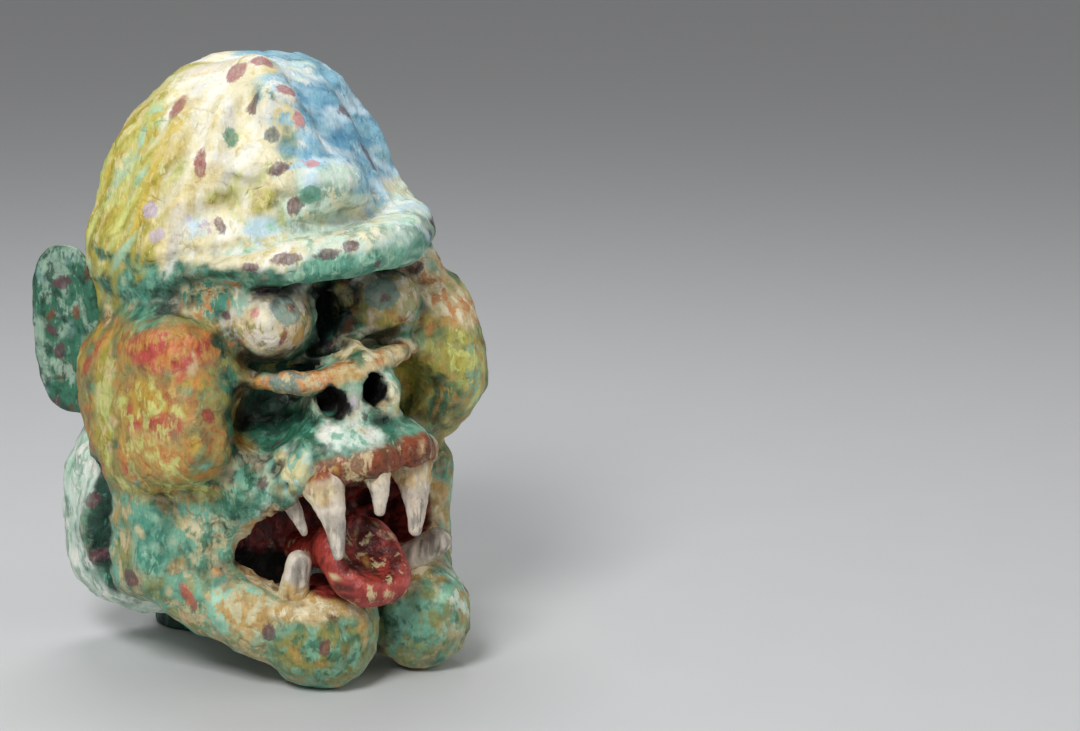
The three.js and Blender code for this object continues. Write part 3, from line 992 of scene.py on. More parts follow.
RIDGE, GROOVE = Way.ADD, Way.CUT
WRINKLES = seen(Wrinkle, {
    "seam": (RIDGE, 7, 4.5, ((262, 62), (266, 100), (270, 140), (276, 172))),
    "sag_below_badge": (GROOVE, 9, 5.0, ((272, 182), (248, 196), (218, 212), (188, 222))),
    "sag_edge": (RIDGE, 8, 5.0, ((262, 160), (240, 174), (210, 190), (184, 204))),
    "right_fold": (RIDGE, 7, 4.0, ((186, 104), (178, 140), (174, 176), (166, 232))),
    "middle_fold": (RIDGE, 7, 4.0, ((226, 96), (216, 128), (210, 158))),
    "right_gully": (GROOVE, 7, 4.0, ((206, 102), (196, 136), (190, 170))),
    "middle_gully": (GROOVE, 7, 3.5, ((246, 100), (238, 130), (232, 158))),
    "swag": (RIDGE, 8, 5.0, ((274, 196), (292, 176), (318, 174), (344, 186), (372, 204))),
    "above_brim": (GROOVE, 6, 3.5,
                   ((150, 266), (200, 258), (260, 244), (310, 234), (360, 218), (408, 196))),
    "side_fold": (RIDGE, 5, 3.0, ((146, 210), (150, 234), (150, 258))),
    "side_gully": (GROOVE, 5, 3.0, ((132, 150), (126, 190), (120, 236))),
    "upper_lid_right": (RIDGE, 3, 1.8, ((236, 300), (252, 285), (280, 279), (306, 285))),
    "lower_lid_right": (RIDGE, 4, 2.4, ((234, 328), (254, 348), (284, 356), (308, 344))),
    "upper_lid_left": (RIDGE, 3, 2.0, ((345, 292), (364, 276), (390, 271), (410, 282))),
    "lower_lid_left": (RIDGE, 4, 2.6, ((342, 332), (366, 346), (394, 338), (414, 316))),
    "bridge": (RIDGE, 7, 6.0, ((342, 322), (348, 340), (362, 356))),
    "bridge_twig": (RIDGE, 3, 3.0, ((332, 346), (340, 356), (352, 366)), 4.0),
    "below_right_eye": (GROOVE, 3, 1.6, ((238, 352), (268, 370), (312, 370), (350, 362))),
    "fold_edge": (RIDGE, 7, 1.8, ((250, 383), (296, 386), (345, 374), (384, 358), (414, 350))),
    "nostril_rim_right": (RIDGE, 3.5, 3,
                          ((340, 426), (322, 421), (315, 402), (322, 384), (336, 379)), 3.0),
    "septum": (RIDGE, 3.5, 3, ((360, 416), (355, 394), (362, 376)), 3.0),
    "nostril_rim_left": (RIDGE, 3.5, 3, ((378, 416), (394, 410), (398, 390), (392, 372)), 3.0),
    "outer_lip_strand": (RIDGE, 4, 4.0, ((250, 498), (268, 474), (286, 450)), 4.0),
    "middle_lip_strand": (RIDGE, 4, 4.0, ((266, 506), (284, 478), (302, 450)), 4.0),
    "inner_lip_strand": (RIDGE, 4, 3.6, ((284, 506), (300, 480), (318, 450)), 4.0),
    "mouth_edge_right": (RIDGE, 5, 3.4,
                         ((236, 500), (225, 538), (230, 572), (258, 598), (292, 614), (330, 624))),
    "jaw_ridge": (RIDGE, 4, 1.8, ((178, 548), (206, 566), (240, 590))),
    "jaw_groove": (GROOVE, 4, 1.8, ((172, 520), (196, 530), (222, 528))),
    "chin_groove": (GROOVE, 4, 1.6, ((340, 616), (352, 640), (350, 668))),
    "cheek_top": (RIDGE, 5, 1.8, ((120, 340), (160, 334), (200, 342))),
    "temple_groove": (GROOVE, 4, 1.5, ((112, 300), (150, 316), (196, 312), (226, 322))),
}, {
    "front_strand": (RIDGE, 3, 2.0, ((728, 336), (724, 350), (716, 362))),
    "middle_strand": (RIDGE, 3, 2.0, ((744, 334), (742, 350), (736, 364))),
    "rear_strand": (RIDGE, 3, 2.0, ((760, 330), (762, 346), (758, 360))),
    "eye_rim": (RIDGE, 3, 1.8, ((726, 306), (732, 292), (748, 286), (766, 290))),
    "mouth_edge_left": (RIDGE, 4, 2.6,
                        ((862, 512), (856, 548), (832, 574), (796, 588), (756, 592))),
    "jowl_edge": (RIDGE, 3, 2.4, ((950, 522), (951, 556), (946, 590), (932, 624))),
    "front_gully": (GROOVE, 4, 1.8, ((700, 104), (690, 150), (700, 200))),
    "front_fold": (RIDGE, 7, 4.0, ((790, 70), (806, 110), (812, 170), (806, 220))),
    "rear_fold": (RIDGE, 7, 4.0, ((880, 96), (890, 150), (884, 215))),
    "rear_gully": (GROOVE, 7, 4.0, ((846, 80), (852, 130), (846, 200))),
})
PATCHES = seen(Patch, {
    "temple": ((150, 292), (34, 24), (P.TEAL, P.SEA, P.GREEN, P.SAND, P.OLIVE),
               (0.8, 0.7, 0.5, 0.3)),
    "temple_front": ((205, 300), (20, 16), (P.TEAL, P.SAND, P.ORANGE, P.PINK), (0.7, 0.6, 0.2)),
    "cheek_rouge": ((165, 352), (38, 15), (P.RED, P.ORANGE, P.OCHRE, P.SAND, P.PINK),
                    (0.9, 0.8, 0.5, 0.4)),
    "cheek_gold": ((145, 420), (30, 30), (P.GOLD, P.RED, P.LIME, P.ORANGE, P.OLIVE),
                   (0.7, 0.7, 0.6, 0.4)),
    "cheek_low": ((150, 460), (32, 20), (P.OCHRE, P.LIME, P.ORANGE, P.OLIVE), (0.8, 0.6, 0.4)),
    "cheek_back": ((104, 410), (12, 52), (P.CITRON, P.LIME, P.SAND, P.GREEN), (0.7, 0.6, 0.4)),
    "cheek_foot": ((165, 490), (40, 12), (P.OLIVE, P.LIME, P.OCHRE, P.SEA), (0.8, 0.8, 0.5)),
    "cheek_shade": ((234, 400), (13, 48), (P.GREEN, P.OLIVE, P.FOREST, P.ORANGE), (0.7, 0.6, 0.5)),
    # Painted shade in the hollow beside the nose.
    "beside_nose": ((270, 418), (24, 22), (P.FOREST, P.GREEN, P.PINE), (0.7, 0.6)),
    "lip_side": ((244, 474), (16, 20), (P.GREEN, P.SAND, P.SEA, P.ORANGE), (0.7, 0.6, 0.4)),
    "lip_pale": ((284, 470), (22, 18), (P.FROST, P.SEA, P.BUTTER, P.GREEN), (0.9, 0.8, 0.5)),
    "jaw": ((205, 540), (26, 24), (P.SEA, P.SAND, P.GREEN, P.OCHRE, P.MINT), (0.8, 0.6, 0.6, 0.4)),
    "jaw_back": ((150, 545), (16, 26), (P.TEAL, P.MINT, P.SEA, P.SAND), (0.7, 0.6, 0.4)),
    "jaw_low": ((250, 610), (30, 20), (P.MINT, P.SAND, P.OCHRE, P.OLIVE), (0.8, 0.7, 0.6)),
    "chin_right": ((325, 652), (44, 30), (P.OLIVE, P.SEA, P.GREEN, P.OCHRE, P.TEAL, P.SAND),
                   (0.8, 0.6, 0.8, 0.6, 0.4)),
    "chin_top": ((300, 612), (24, 8), (P.SAND, P.OCHRE, P.CREAM), (0.8, 0.5)),
    "chin_left": ((405, 625), (30, 28), (P.SEA, P.OLIVE, P.GREEN, P.OCHRE, P.TEAL),
                  (0.9, 0.6, 0.8, 0.5)),
    "fold_right_end": ((262, 386), (16, 9), (P.OCHRE, P.ORANGE, P.OLIVE, P.SAND), (1.0, 0.5, 0.7)),
    "fold_right": ((300, 384), (30, 9), (P.SAND, P.ORANGE, P.PETROL, P.OCHRE, P.BROWN),
                   (1.1, 0.9, 0.8, 0.3)),
    "fold_middle": ((345, 371), (26, 8), (P.SAND, P.ORANGE, P.OCHRE, P.ASH, P.SEA),
                    (1.1, 0.8, 0.6, 0.5)),
    "fold_left": ((384, 359), (20, 7), (P.SAND, P.ORANGE, P.CREAM, P.PINK), (1.1, 0.7, 0.3)),
    "fold_left_end": ((412, 352), (10, 7), (P.CREAM, P.ORANGE, P.SAND), (0.9, 0.6)),
    "temple_left": ((430, 290), (14, 22), (P.SAND, P.ORANGE, P.CREAM, P.TEAL), (0.9, 0.6, 0.5)),
    "cheek_left_top": ((462, 350), (14, 30), (P.CITRON, P.LIME, P.OLIVE, P.SEA), (0.8, 0.7, 0.4)),
    "cheek_left_low": ((440, 400), (16, 24), (P.OLIVE, P.GREEN, P.OCHRE, P.SEA), (0.7, 0.6, 0.4)),
    # Painted shade: the slit, its foot, below the right eye and at its corner.
    "slit": ((343, 302), (17, 28), (P.PINE, P.OLIVE, P.BROWN), (0.5, 0.5)),
    "slit_foot": ((316, 345), (9, 16), (P.PINE, P.FOREST), (0.6,)),
    "below_eye": ((268, 366), (30, 6), (P.FOREST, P.OLIVE), (0.5,)),
    "eye_corner": ((222, 345), (8, 22), (P.FOREST, P.OLIVE, P.ORANGE), (0.5, 0.4)),
    "nose_front": ((355, 394), (6, 11), (P.SAGE, P.LILAC, P.SAND), (0.7, 0.6)),
    "nose_line": ((346, 402), (2.5, 7), (P.LILAC, P.SAGE), (0.5,)),
    "nose_left": ((394, 396), (6, 16), (P.CREAM, P.CITRON, P.SEA), (0.6, 0.5)),
    "nose_right": ((316, 402), (5, 14), (P.FROST, P.CREAM), (0.6,)),
    "bridge": ((350, 349), (16, 12), (P.SAND, P.CREAM, P.OLIVE, P.STONE), (0.9, 0.6, 0.5)),
    "bridge_top": ((366, 340), (9, 9), (P.CREAM, P.STONE, P.OLIVE), (0.7, 0.5)),
    "eye_white": ((241, 300), (7, 9), (P.SAGE, P.CREAM, P.SEA), (0.8, 0.5)),
    "lid_spot": ((262, 292), (5, 3), (P.PLUM, P.STONE), (0.7,)),
    "eye_edge": ((306, 304), (3, 10), (P.FROST, P.PLUM), (0.8,)),
    "eye_left_low": ((392, 322), (12, 8), (P.OLIVE, P.OCHRE, P.BROWN, P.ORANGE), (0.8, 0.6, 0.6)),
    "lip_middle": ((352, 436), (26, 9), (P.FROST, P.WHITE, P.SEA, P.SAND), (0.8, 0.6, 0.4)),
    # Painted shadow streak in the hat's fold.
    "hat_olive": ((240, 198), (30, 11), (P.CITRON, P.BUTTER, P.LIME), (0.9, 0.6)),
    "hat_blue_side": ((198, 227), (16, 7), (P.ICE, P.CREAM, P.LILAC), (0.6, 0.4)),
    "hat_blue_middle": ((262, 228), (16, 8), (P.ICE, P.CREAM, P.MINT), (0.6, 0.4)),
    "hat_top": ((296, 70), (26, 16), (P.FROST, P.ICE, P.WHITE, P.SAGE), (0.8, 0.6, 0.4)),
    "sky_high": ((335, 104), (30, 15), (P.SKY, P.BLUE, P.ICE), (0.3, 0.1)),
    "cloud_high": ((320, 134), (38, 9), (P.ICE, P.WHITE, P.SKY), (0.3, 0.2)),
    "sky_low": ((372, 152), (26, 9), (P.SKY, P.BLUE, P.ICE), (0.3, 0.1)),
    "cloud_low": ((345, 176), (40, 9), (P.FROST, P.ICE, P.WHITE), (0.3, 0.3)),
    "seam_shade": ((288, 140), (6, 22), (P.PETROL, P.OLIVE, P.SAGE), (0.6, 0.5)),
    "swag_shade": ((320, 205), (30, 16), (P.SAGE, P.CREAM, P.FROST, P.WHITE), (0.8, 0.7, 0.4)),
    "brim_top": ((340, 232), (34, 12), (P.CREAM, P.FROST, P.SAGE, P.WHITE), (0.9, 0.6, 0.5)),
    "brim_left": ((385, 208), (40, 20), (P.FROST, P.ICE, P.WHITE, P.SEA), (0.9, 0.7, 0.4)),
    "seam_pale": ((262, 95), (8, 26), (P.ICE, P.CREAM, P.PETROL), (0.7, 0.6)),
    "hat_lime": ((150, 130), (12, 26), (P.LIME, P.MINT, P.YELLOW), (0.8, 0.6)),
}, {
    "cheek_dark": ((860, 395), (28, 34), (P.OLIVE, P.BROWN, P.GREEN, P.OCHRE), (0.8, 0.5, 0.5)),
    "cheek_yellow": ((935, 370), (20, 40), (P.CITRON, P.BUTTER, P.GOLD, P.LIME), (0.8, 0.7, 0.5)),
    "cheek_front": ((815, 345), (24, 16), (P.SAND, P.ORANGE, P.CREAM, P.SEA), (0.8, 0.7, 0.5)),
    "cheek_ochre": ((900, 445), (34, 14), (P.OCHRE, P.BROWN, P.ORANGE, P.LIME), (0.8, 0.6, 0.5)),
    "cheek_foot": ((880, 484), (40, 9), (P.OLIVE, P.LIME, P.OCHRE, P.SEA), (0.8, 0.8, 0.5)),
    "cheek_heel": ((960, 476), (16, 9), (P.ORANGE, P.OCHRE, P.OLIVE), (0.8, 0.5)),
    "cheek_lime": ((800, 420), (16, 34), (P.LIME, P.OCHRE, P.SEA, P.ORANGE), (0.8, 0.8, 0.5)),
    "ear_root": ((900, 300), (28, 14), (P.TEAL, P.WHITE, P.SEA, P.LILAC), (0.6, 0.7, 0.4)),
    "jowl": ((905, 570), (24, 34), (P.SEA, P.OCHRE, P.MINT, P.TEAL, P.ORANGE),
             (0.9, 0.8, 0.6, 0.5)),
    "behind_jaw": ((965, 540), (6, 44), (P.TEAL, P.FOREST, P.SEA), (0.7, 0.6)),
    "flare": ((995, 550), (14, 40), (P.FROST, P.SAGE, P.WHITE, P.GREEN), (0.8, 0.7, 0.4)),
    "chin": ((780, 635), (36, 26), (P.SEA, P.OCHRE, P.FROST, P.OLIVE), (0.9, 0.8, 0.6)),
    "mouth_corner": ((860, 560), (10, 24), (P.SAND, P.OCHRE, P.ORANGE), (0.9, 0.6)),
    "lip_low": ((790, 590), (26, 7), (P.SAND, P.STONE, P.OCHRE), (0.9, 0.6)),
    # Painted shade in the hollow beside the nose.
    "beside_nose": ((760, 400), (14, 16), (P.PINE, P.FOREST), (0.6,)),
    "brim_plum": ((792, 252), (36, 6), (P.PLUM, P.FOREST, P.TEAL), (0.7, 0.6)),
    "sky_front": ((780, 106), (30, 9), (P.BLUE, P.SKY), (0.3,)),
    "cloud_front": ((815, 122), (30, 6), (P.ICE, P.WHITE, P.SKY), (0.4, 0.2)),
    "sky_middle": ((800, 148), (38, 9), (P.BLUE, P.SKY), (0.4,)),
    "cloud_low": ((850, 176), (38, 6), (P.ICE, P.SKY, P.FROST), (0.3, 0.3)),
    "crown_pale": ((722, 60), (30, 12), (P.SAGE, P.FROST, P.ICE), (0.5, 0.4)),
    "bridge_side": ((690, 340), (5, 6), (P.STONE, P.OLIVE, P.CREAM), (0.8, 0.5)),
    "lip_edge": ((756, 470), (30, 5), (P.OCHRE, P.SAND, P.RUST), (0.8, 0.7)),
})
DABS = seen(Dab, {
    "long_crimson": ((200, 165), (14, 4.5), 0, P.CRIMSON),
    "crown_plum": ((255, 105), (9, 6), 40, P.PLUM),
    "teal_spot": ((229, 138), (7.5, 7), 0, P.TEAL),
    "slate_spot": ((272, 135), (6.5, 6), 0, P.SLATE),
    "lilac_high": ((151, 211), (7, 6.5), 0, P.LILAC),
    "lilac_low": ((158, 236), (7, 5.5), 60, P.LILAC),
    "low_plum": ((220, 225), (7, 4), -25, P.PLUM),
    "seam_plum": ((279, 169), (9, 5), 70, P.PLUM),
    "swag_plum": ((295, 205), (9, 6), 20, P.PLUM),
    "side_rose": ((178, 106), (12, 4.5), 8, P.ROSE),
    "top_rose": ((236, 72), (10, 6.5), 30, P.ROSE),
    "peak_rose": ((263, 61), (11, 5), 85, P.ROSE),
    "front_rose": ((286, 89), (9, 5), 80, P.ROSE),
    "pink_high": ((299, 119), (8, 5), 10, P.PINK),
    "slash_high": ((345, 110), (9, 2.5), -30, P.PLUM),
    "slash_low": ((366, 153), (9, 2.5), -30, P.PLUM),
    "pink_low": ((312, 163), (8, 4), 80, P.PINK),
    "lid_plum": ((263, 291), (6, 4.5), 60, P.PLUM),
    "eye_pink": ((254, 312), (5, 3.5), 40, P.PINK),
    "lid_corner": ((299, 288), (4, 4), 0, P.PLUM),
    "eye_ochre": ((300, 336), (8, 8), 30, P.OCHRE),
    "eye_crimson": ((284, 338), (7, 2.8), 0, P.CRIMSON),
    "iris_right": ((288, 309), (12.5, 14), 0, P.PETROL),
    "pupil_right": ((293, 308), (4.2, 4.6), 0, P.PLUM),
    "iris_left": ((382, 294), (12, 13.5), 0, P.PETROL),
    "pupil_left": ((384, 297), (3.4, 3.8), 0, P.PLUM),
    "temple_orange": ((232, 283), (8, 3), 75, P.ORANGE),
    "eye_bag_orange": ((236, 344), (7, 3), 60, P.ORANGE),
    "temple_plum": ((226, 316), (5, 4), 40, P.PLUM),
    "brim_second": ((287, 259), (11, 5), 80, P.PLUM),
    "brim_first": ((249, 269), (8, 4), 75, P.PLUM),
    "brim_third": ((327, 254), (9, 4.5), 75, P.PLUM),
    "brim_fourth": ((351, 246), (7, 5), 70, P.PLUM),
    "temple_left": ((417, 268), (7, 4.5), 60, P.PLUM),
    "brow_left": ((379, 266), (5, 4), 60, P.PLUM),
    "eye_left_teal": ((405, 328), (4.5, 4), 0, P.PETROL),
    "lip_plum": ((277, 446), (6.5, 4.5), 60, P.PLUM),
    "lip_corner": ((262, 484), (7, 4), 20, P.PLUM),
    "nose_dot": ((364, 416), (3, 2.5), 0, P.PRUNE),
    "chin_plum": ((268, 632), (7, 5), 0, P.PLUM),
    "chin_front": ((325, 649), (7, 5), 10, P.PLUM),
    "swag_teal": ((310, 195), (9, 7), 60, P.TEAL),
    "cheek_crimson": ((208, 416), (6, 5), 0, P.CRIMSON),
    "flare_high": ((92, 500), (9, 6), 70, P.PLUM),
    "flare_middle": ((101, 555), (11, 6), 90, P.PLUM),
    "flare_low": ((130, 578), (11, 6), 90, P.PLUM),
    "jaw_red": ((187, 595), (12, 4), -30, P.RED),
}, {
    "crown_slash": ((813, 126), (14, 5), -45, P.PLUM),
    "crown_bar": ((811, 174), (12, 4), 0, P.PLUM),
    "jowl_plum": ((910, 571), (12, 5), -45, P.PLUM),
    "jaw_plum": ((856, 607), (9, 4), -50, P.PLUM),
    "chin_left": ((777, 635), (10, 5), -40, P.PLUM),
    "ear_root": ((893, 300), (7, 6), 60, P.PLUM),
    "cheek_brown": ((866, 380), (13, 9), -20, P.BROWN),
})


# Shaders.


@dataclass(frozen=True)
class Wire:
    """A value in a shader. Sums and products of wires add their Math nodes."""

    shader: "Shader"
    socket: bpy.types.NodeSocket

    def __add__(self, other: "Wire | float") -> "Wire":
        """Sum."""
        return self.shader.maths("ADD", self, other)

    def __sub__(self, other: "Wire | float") -> "Wire":
        """Difference."""
        return self.shader.maths("SUBTRACT", self, other)

    def __rsub__(self, other: "Wire | float") -> "Wire":
        """Difference from a number."""
        return self.shader.maths("SUBTRACT", other, self)

    def __mul__(self, other: "Wire | float") -> "Wire":
        """Product."""
        return self.shader.maths("MULTIPLY", self, other)

    __radd__ = __add__
    __rmul__ = __mul__


class Shader:
    """A node material under way."""

    def __init__(self, name: str) -> None:
        """Starts an empty material.

        Args:
            name: its name.
        """
        self.material = bpy.data.materials.new(name)
        self.material.use_nodes = True
        self.tree = self.material.node_tree
        self.tree.nodes.clear()

    def node(self, kind: str, settings: dict[str, object] | None = None,
             inputs: dict[str | int, object] | None = None, output: str | int = 0) -> Wire:
        """Adds any node.

        Args:
            kind: the node's type.
            settings: its properties, set first.
            inputs: values or wires of its sockets, by identifier, name or number.
            output: the socket wanted, by name or number.

        Returns:
            The wire of that output.
        """
        made = self.tree.nodes.new(kind)
        for key, value in (settings or {}).items():
            setattr(made, key, value)
        for key, value in (inputs or {}).items():
            socket = self.find(made.inputs, key)
            if isinstance(value, Wire):
                self.tree.links.new(value.socket, socket)
            else:
                socket.default_value = value
        if not made.outputs:
            return Wire(self, None)
        return Wire(self, self.find(made.outputs, output))

    @staticmethod
    def find(sockets: Iterable, key: str | int) -> bpy.types.NodeSocket:
        """Finds a socket.

        Args:
            sockets: the sockets of one side of a node.
            key: its identifier, name or number.

        Returns:
            The socket.
        """
        if isinstance(key, int):
            return sockets[key]
        for socket in sockets:
            if socket.identifier == key:
                return socket
        return sockets[key]

    def maths(self, operation: str, *values: "Wire | float") -> Wire:
        """A Math node on wires or numbers."""
        return self.node("ShaderNodeMath", {"operation": operation}, dict(enumerate(values)))

    def attribute(self, name: str, output: str = "Fac") -> Wire:
        """Reads one of the piece's own attributes."""
        return self.node("ShaderNodeAttribute", {"attribute_name": name}, output=output)

    def noise(self, size: float, detail: float = 2.0, roughness: float = 0.5,
              stretch: Triple = (1.0, 1.0, 1.0), distortion: float = 0.0) -> Wire:
        """Noise on the piece, from 0 to 1.

        Args:
            size: size of its patches in millimetres.
            detail: how many finer layers it has.
            roughness: how strong these are.
            stretch: how much longer the patches are along each axis.
            distortion: how twisted they are.

        Returns:
            The noise as a value.
        """
        place = self.node("ShaderNodeTexCoord", output="Object")
        scale = tuple(1 / (size * MM * s) for s in stretch)
        place = self.node("ShaderNodeMapping", {"vector_type": "POINT"},
                          {"Vector": place, "Scale": scale})
        return self.node("ShaderNodeTexNoise", {"noise_dimensions": "3D"}, {
            "Vector": place, "Scale": 1.0, "Detail": detail, "Roughness": roughness,
            "Distortion": distortion})

    def step(self, value: Wire, low: float, high: float) -> Wire:
        """A soft step from 0 at low to 1 at high."""
        return self.node("ShaderNodeMapRange", {"interpolation_type": "SMOOTHSTEP"}, {
            "Value": value, "From Min": low, "From Max": high, "To Min": 0.0, "To Max": 1.0})

    def mix(self, share: "Wire | float", first: "Wire | Quad", second: "Wire | Quad",
            kind: str = "MIX") -> Wire:
        """Mixes two colours."""
        return self.node("ShaderNodeMix", {"data_type": "RGBA", "blend_type": kind}, {
            "Factor_Float": share, "A_Color": first, "B_Color": second}, "Result_Color")

    def finish(self, colour: Wire, roughness: Wire, normal: Wire, **constant: float) -> None:
        """Ends the material in a Principled shader.

        Args:
            colour: base colour.
            roughness: roughness.
            normal: shading normal.
            constant: further sockets, by name with _ for a space, at one value all over.
        """
        surface = self.node("ShaderNodeBsdfPrincipled", None, {
            "Base Color": colour, "Roughness": roughness, "Normal": normal,
            **{key.replace("_", " "): value for key, value in constant.items()}}, "BSDF")
        self.node("ShaderNodeOutputMaterial", None, {"Surface": surface})


def opaque(paint: Paint) -> Quad:
    """A paint as a socket's colour."""
    r, g, b = (float(v) for v in paint.linear())
    return r, g, b, 1.0


@dataclass(frozen=True)
class PaintedPaper:
    """Paint brushed on papier-mâché.

    Args:
        name: the material's name.
        shade_and_dirt: painted shade in the folds and crumpled lines, and the dark specks.
        fold_shade_share: how strongly the painted shade in the folds shows.
        wear: what shows on the edges.
        wear_share: how strongly that shows.
        roughness: of the varnish.
        grain: height of the fine crumple, in millimetres.
        speckle: how strongly fine specks break the paint up.
        crease_shade_share: how dark the painted shade along the crumpled lines is.
        blots: sizes of the further paints' blots, in millimetres.
        blot_stretch: how much taller than wide they are.
    """

    name: str
    shade_and_dirt: Paint = P.SOOT
    fold_shade_share: float = 0.85
    wear: Paint = P.CREAM
    wear_share: float = 0.26
    roughness: float = 0.5
    grain: float = 1.0
    speckle: float = 0.45
    crease_shade_share: float = 0.3
    blots: tuple[float, float] = (17.0, 9.0)
    blot_stretch: float = 1.4

    def material(self) -> bpy.types.Material:
        """Builds the node material.

        Returns:
            The finished material. It reads the attributes that Painter leaves on a piece.
        """
        s = Shader(self.name)
        fine, middle = s.noise(1.3, 3.0, 0.65), s.noise(7.0, 3.0, 0.55)
        streak = s.noise(2.2, 3.0, 0.6, stretch=(1.0, 1.0, 5.0), distortion=0.2)
        colour = s.attribute("ground", "Color")
        patchy = (s.noise(45.0, 2.0) - 0.5) * 0.3 + (streak - 0.5) * 0.26
        for name, size in zip(("second", "third"), self.blots):
            blot = s.noise(size, 4.0, 0.55, stretch=(1.0, 1.0, self.blot_stretch), distortion=0.3)
            edge = blot + patchy + s.attribute(f"{name}_share") * 0.36 - 0.67
            cover = s.step(edge, -0.045, 0.055)
            colour = s.mix(cover * 0.8, colour, s.attribute(name, "Color"))
        ragged = s.attribute("dab_gap") + (middle - 0.5) * 7.0 + (fine - 0.5) * 3.0
        dabbed = 1 - s.step(ragged + (streak - 0.5) * 3.0, -1.1, 0.7)
        worn = s.step(streak, 0.2, 0.7) * 0.4 + 0.5
        colour = s.mix(dabbed * worn, colour, s.attribute("dab_paint", "Color"))
        colour = s.mix(s.step(streak, 0.42, 0.7) * 0.45, colour, opaque(P.WHITE), "SOFT_LIGHT")
        colour = s.mix(s.step(middle, 0.45, 0.72) * 0.45, colour, opaque(P.SOOT), "SOFT_LIGHT")
        # Painted shade: dark lines along the crumpled creases.
        crease = s.noise(30.0, 3.0, 0.5, distortion=0.2)
        valley = s.maths("ABSOLUTE", crease - 0.5)
        where = s.step(s.noise(24.0, 2.0), 0.5, 0.6)
        line = (1 - s.step(valley, 0.0, 0.010)) * where
        colour = s.mix(line * self.crease_shade_share, colour, opaque(self.shade_and_dirt), "MULTIPLY")
        # Painted shade: darker where the fold attribute says a point lies deep in a fold.
        fold = s.attribute("fold") + (middle - 0.5) * 0.3 + (fine - 0.5) * 0.12
        colour = s.mix(s.step(fold, 0.16, 0.7) * self.fold_shade_share, colour, opaque(self.shade_and_dirt),
                       "MULTIPLY")
        speck = s.step(fine + (middle - 0.5) * 0.6, 0.68, 0.76)
        colour = s.mix(speck * self.speckle, colour, opaque(self.shade_and_dirt), "MULTIPLY")
        edge = s.attribute("ridge") + (fine - 0.5) * 0.6 + (middle - 0.5) * 0.4
        # Nothing is rubbed pale where the paint is nearly black.
        light = s.node("ShaderNodeRGBToBW", None, {"Color": colour}, "Val")
        rubbed = s.step(edge, 0.3, 0.75) * s.step(light, 0.01, 0.05)
        colour = s.mix(rubbed * self.wear_share, colour, opaque(self.wear))
        # Crumbs on the gum.
        crust, crumb = s.attribute("crust"), s.noise(4.0, 3.0, 0.7)
        colour = s.mix(crust * s.step(crumb, 0.48, 0.66) * 0.8, colour, opaque(P.BROWN),
                       "MULTIPLY")
        bare = s.mix(s.step(middle, 0.35, 0.65), opaque(P.BARE_PAPER), opaque(P.BARE_GREY))
        bare = s.mix(speck, bare, opaque(P.BROWN))
        colour = s.mix(s.attribute("bare"), colour, bare)
        roughness = self.roughness + (middle - 0.5) * 0.3 - dabbed * 0.05
        height = s.step(valley, 0.0, 0.05) * where * 0.7 + middle * 1.5 + fine * 0.3
        height = height + streak * 0.55 + dabbed * 0.25 - crust * crumb * 2.2
        normal = s.node("ShaderNodeBump", None, {
            "Strength": 0.9, "Distance": self.grain * MM, "Height": height}, "Normal")
        s.finish(colour, roughness, normal, Specular_IOR_Level=0.45)
        return s.material


# Pieces.


class Bench:
    """Turns the maker's millimetres into the frame's metres and makes objects of skins."""

    def __init__(self, ring_centre: tuple[float, float], level: float) -> None:
        """Finds the maker's origin from the neck ring.

        Args:
            ring_centre: the neck ring's middle in the maker's millimetres.
            level: how far the maker's level lies above the floor.
        """
        low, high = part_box("collar")
        self.origin = np.array([(low.x + high.x) / 2 - ring_centre[0] * MM,
                                (low.y + high.y) / 2 - ring_centre[1] * MM, level * MM])

    def metres(self, at: Array) -> Array:
        """Points of the maker in the frame."""
        return at * MM + self.origin

    def build(self, name: str, distance: Distance, corners: tuple[Triple, Triple], step: float,
              seed: int, coats: list[Coat], material: bpy.types.Material,
              dabs: tuple[Dab, ...] = ()) -> bpy.types.Object:
        """Meshes, paints and dresses a piece.

        Args:
            name: the object's name.
            distance: the distance function of its surface.
            corners: lowest and highest corner of the space that holds it.
            step: size of the mesh's faces.
            seed: fixes the order of the strokes.
            coats: the areas of paint, the lowest first.
            material: its finish.
            dabs: the dabs that can be told in the photograph.

        Returns:
            The finished object.
        """
        painter = Painter(skin_of(distance, *corners, step), distance, seed)
        painter.lay(coats)
        if dabs:
            painter.dab(list(dabs), distance)
        return self.piece(name, painter, {}, material)

    def piece(self, name: str, painter: Painter, extra: dict[str, Array],
              material: bpy.types.Material) -> bpy.types.Object:
        """Makes an object of a painted skin.

        Args:
            name: the object's name.
            painter: holds the skin and its paint.
            extra: further values of the points, such as where the paper is left bare.
            material: its finish.

        Returns:
            The object, at the origin, with its place in its mesh.
        """
        skin = painter.skin
        mesh = bpy.data.meshes.new(name)
        mesh.from_pydata(self.metres(skin.points).tolist(), [], skin.faces.tolist())
        count = len(skin.points)
        values = {
            "dab_gap": painter.dab_gap,
            "ridge": painter.ridges(4.0),
            "second_share": painter.mottle[:, 0],
            "third_share": painter.mottle[:, 1],
            # The painted shade in the folds, unless the piece brings its own.
            **({} if "fold" in extra else {"fold": painter.folds()}),
            **extra,
        }
        for key, value in values.items():
            layer = mesh.attributes.new(key, "FLOAT", "POINT")
            layer.data.foreach_set("value", value.astype(np.float32))
        for key, value in painter.colours.items():
            layer = mesh.attributes.new(key, "FLOAT_COLOR", "POINT")
            full = np.concatenate([np.clip(value, 0, 1), np.ones((count, 1))], 1)
            layer.data.foreach_set("color", full.astype(np.float32).ravel())
        mesh.polygons.foreach_set("use_smooth", np.ones(len(mesh.polygons), bool))
        mesh.materials.append(material)
        mesh.update()
        made = bpy.data.objects.new(name, mesh)
        bpy.context.scene.collection.objects.link(made)
        LOG.info("%s: %d points, %d faces", name, count, len(skin.faces))
        return made


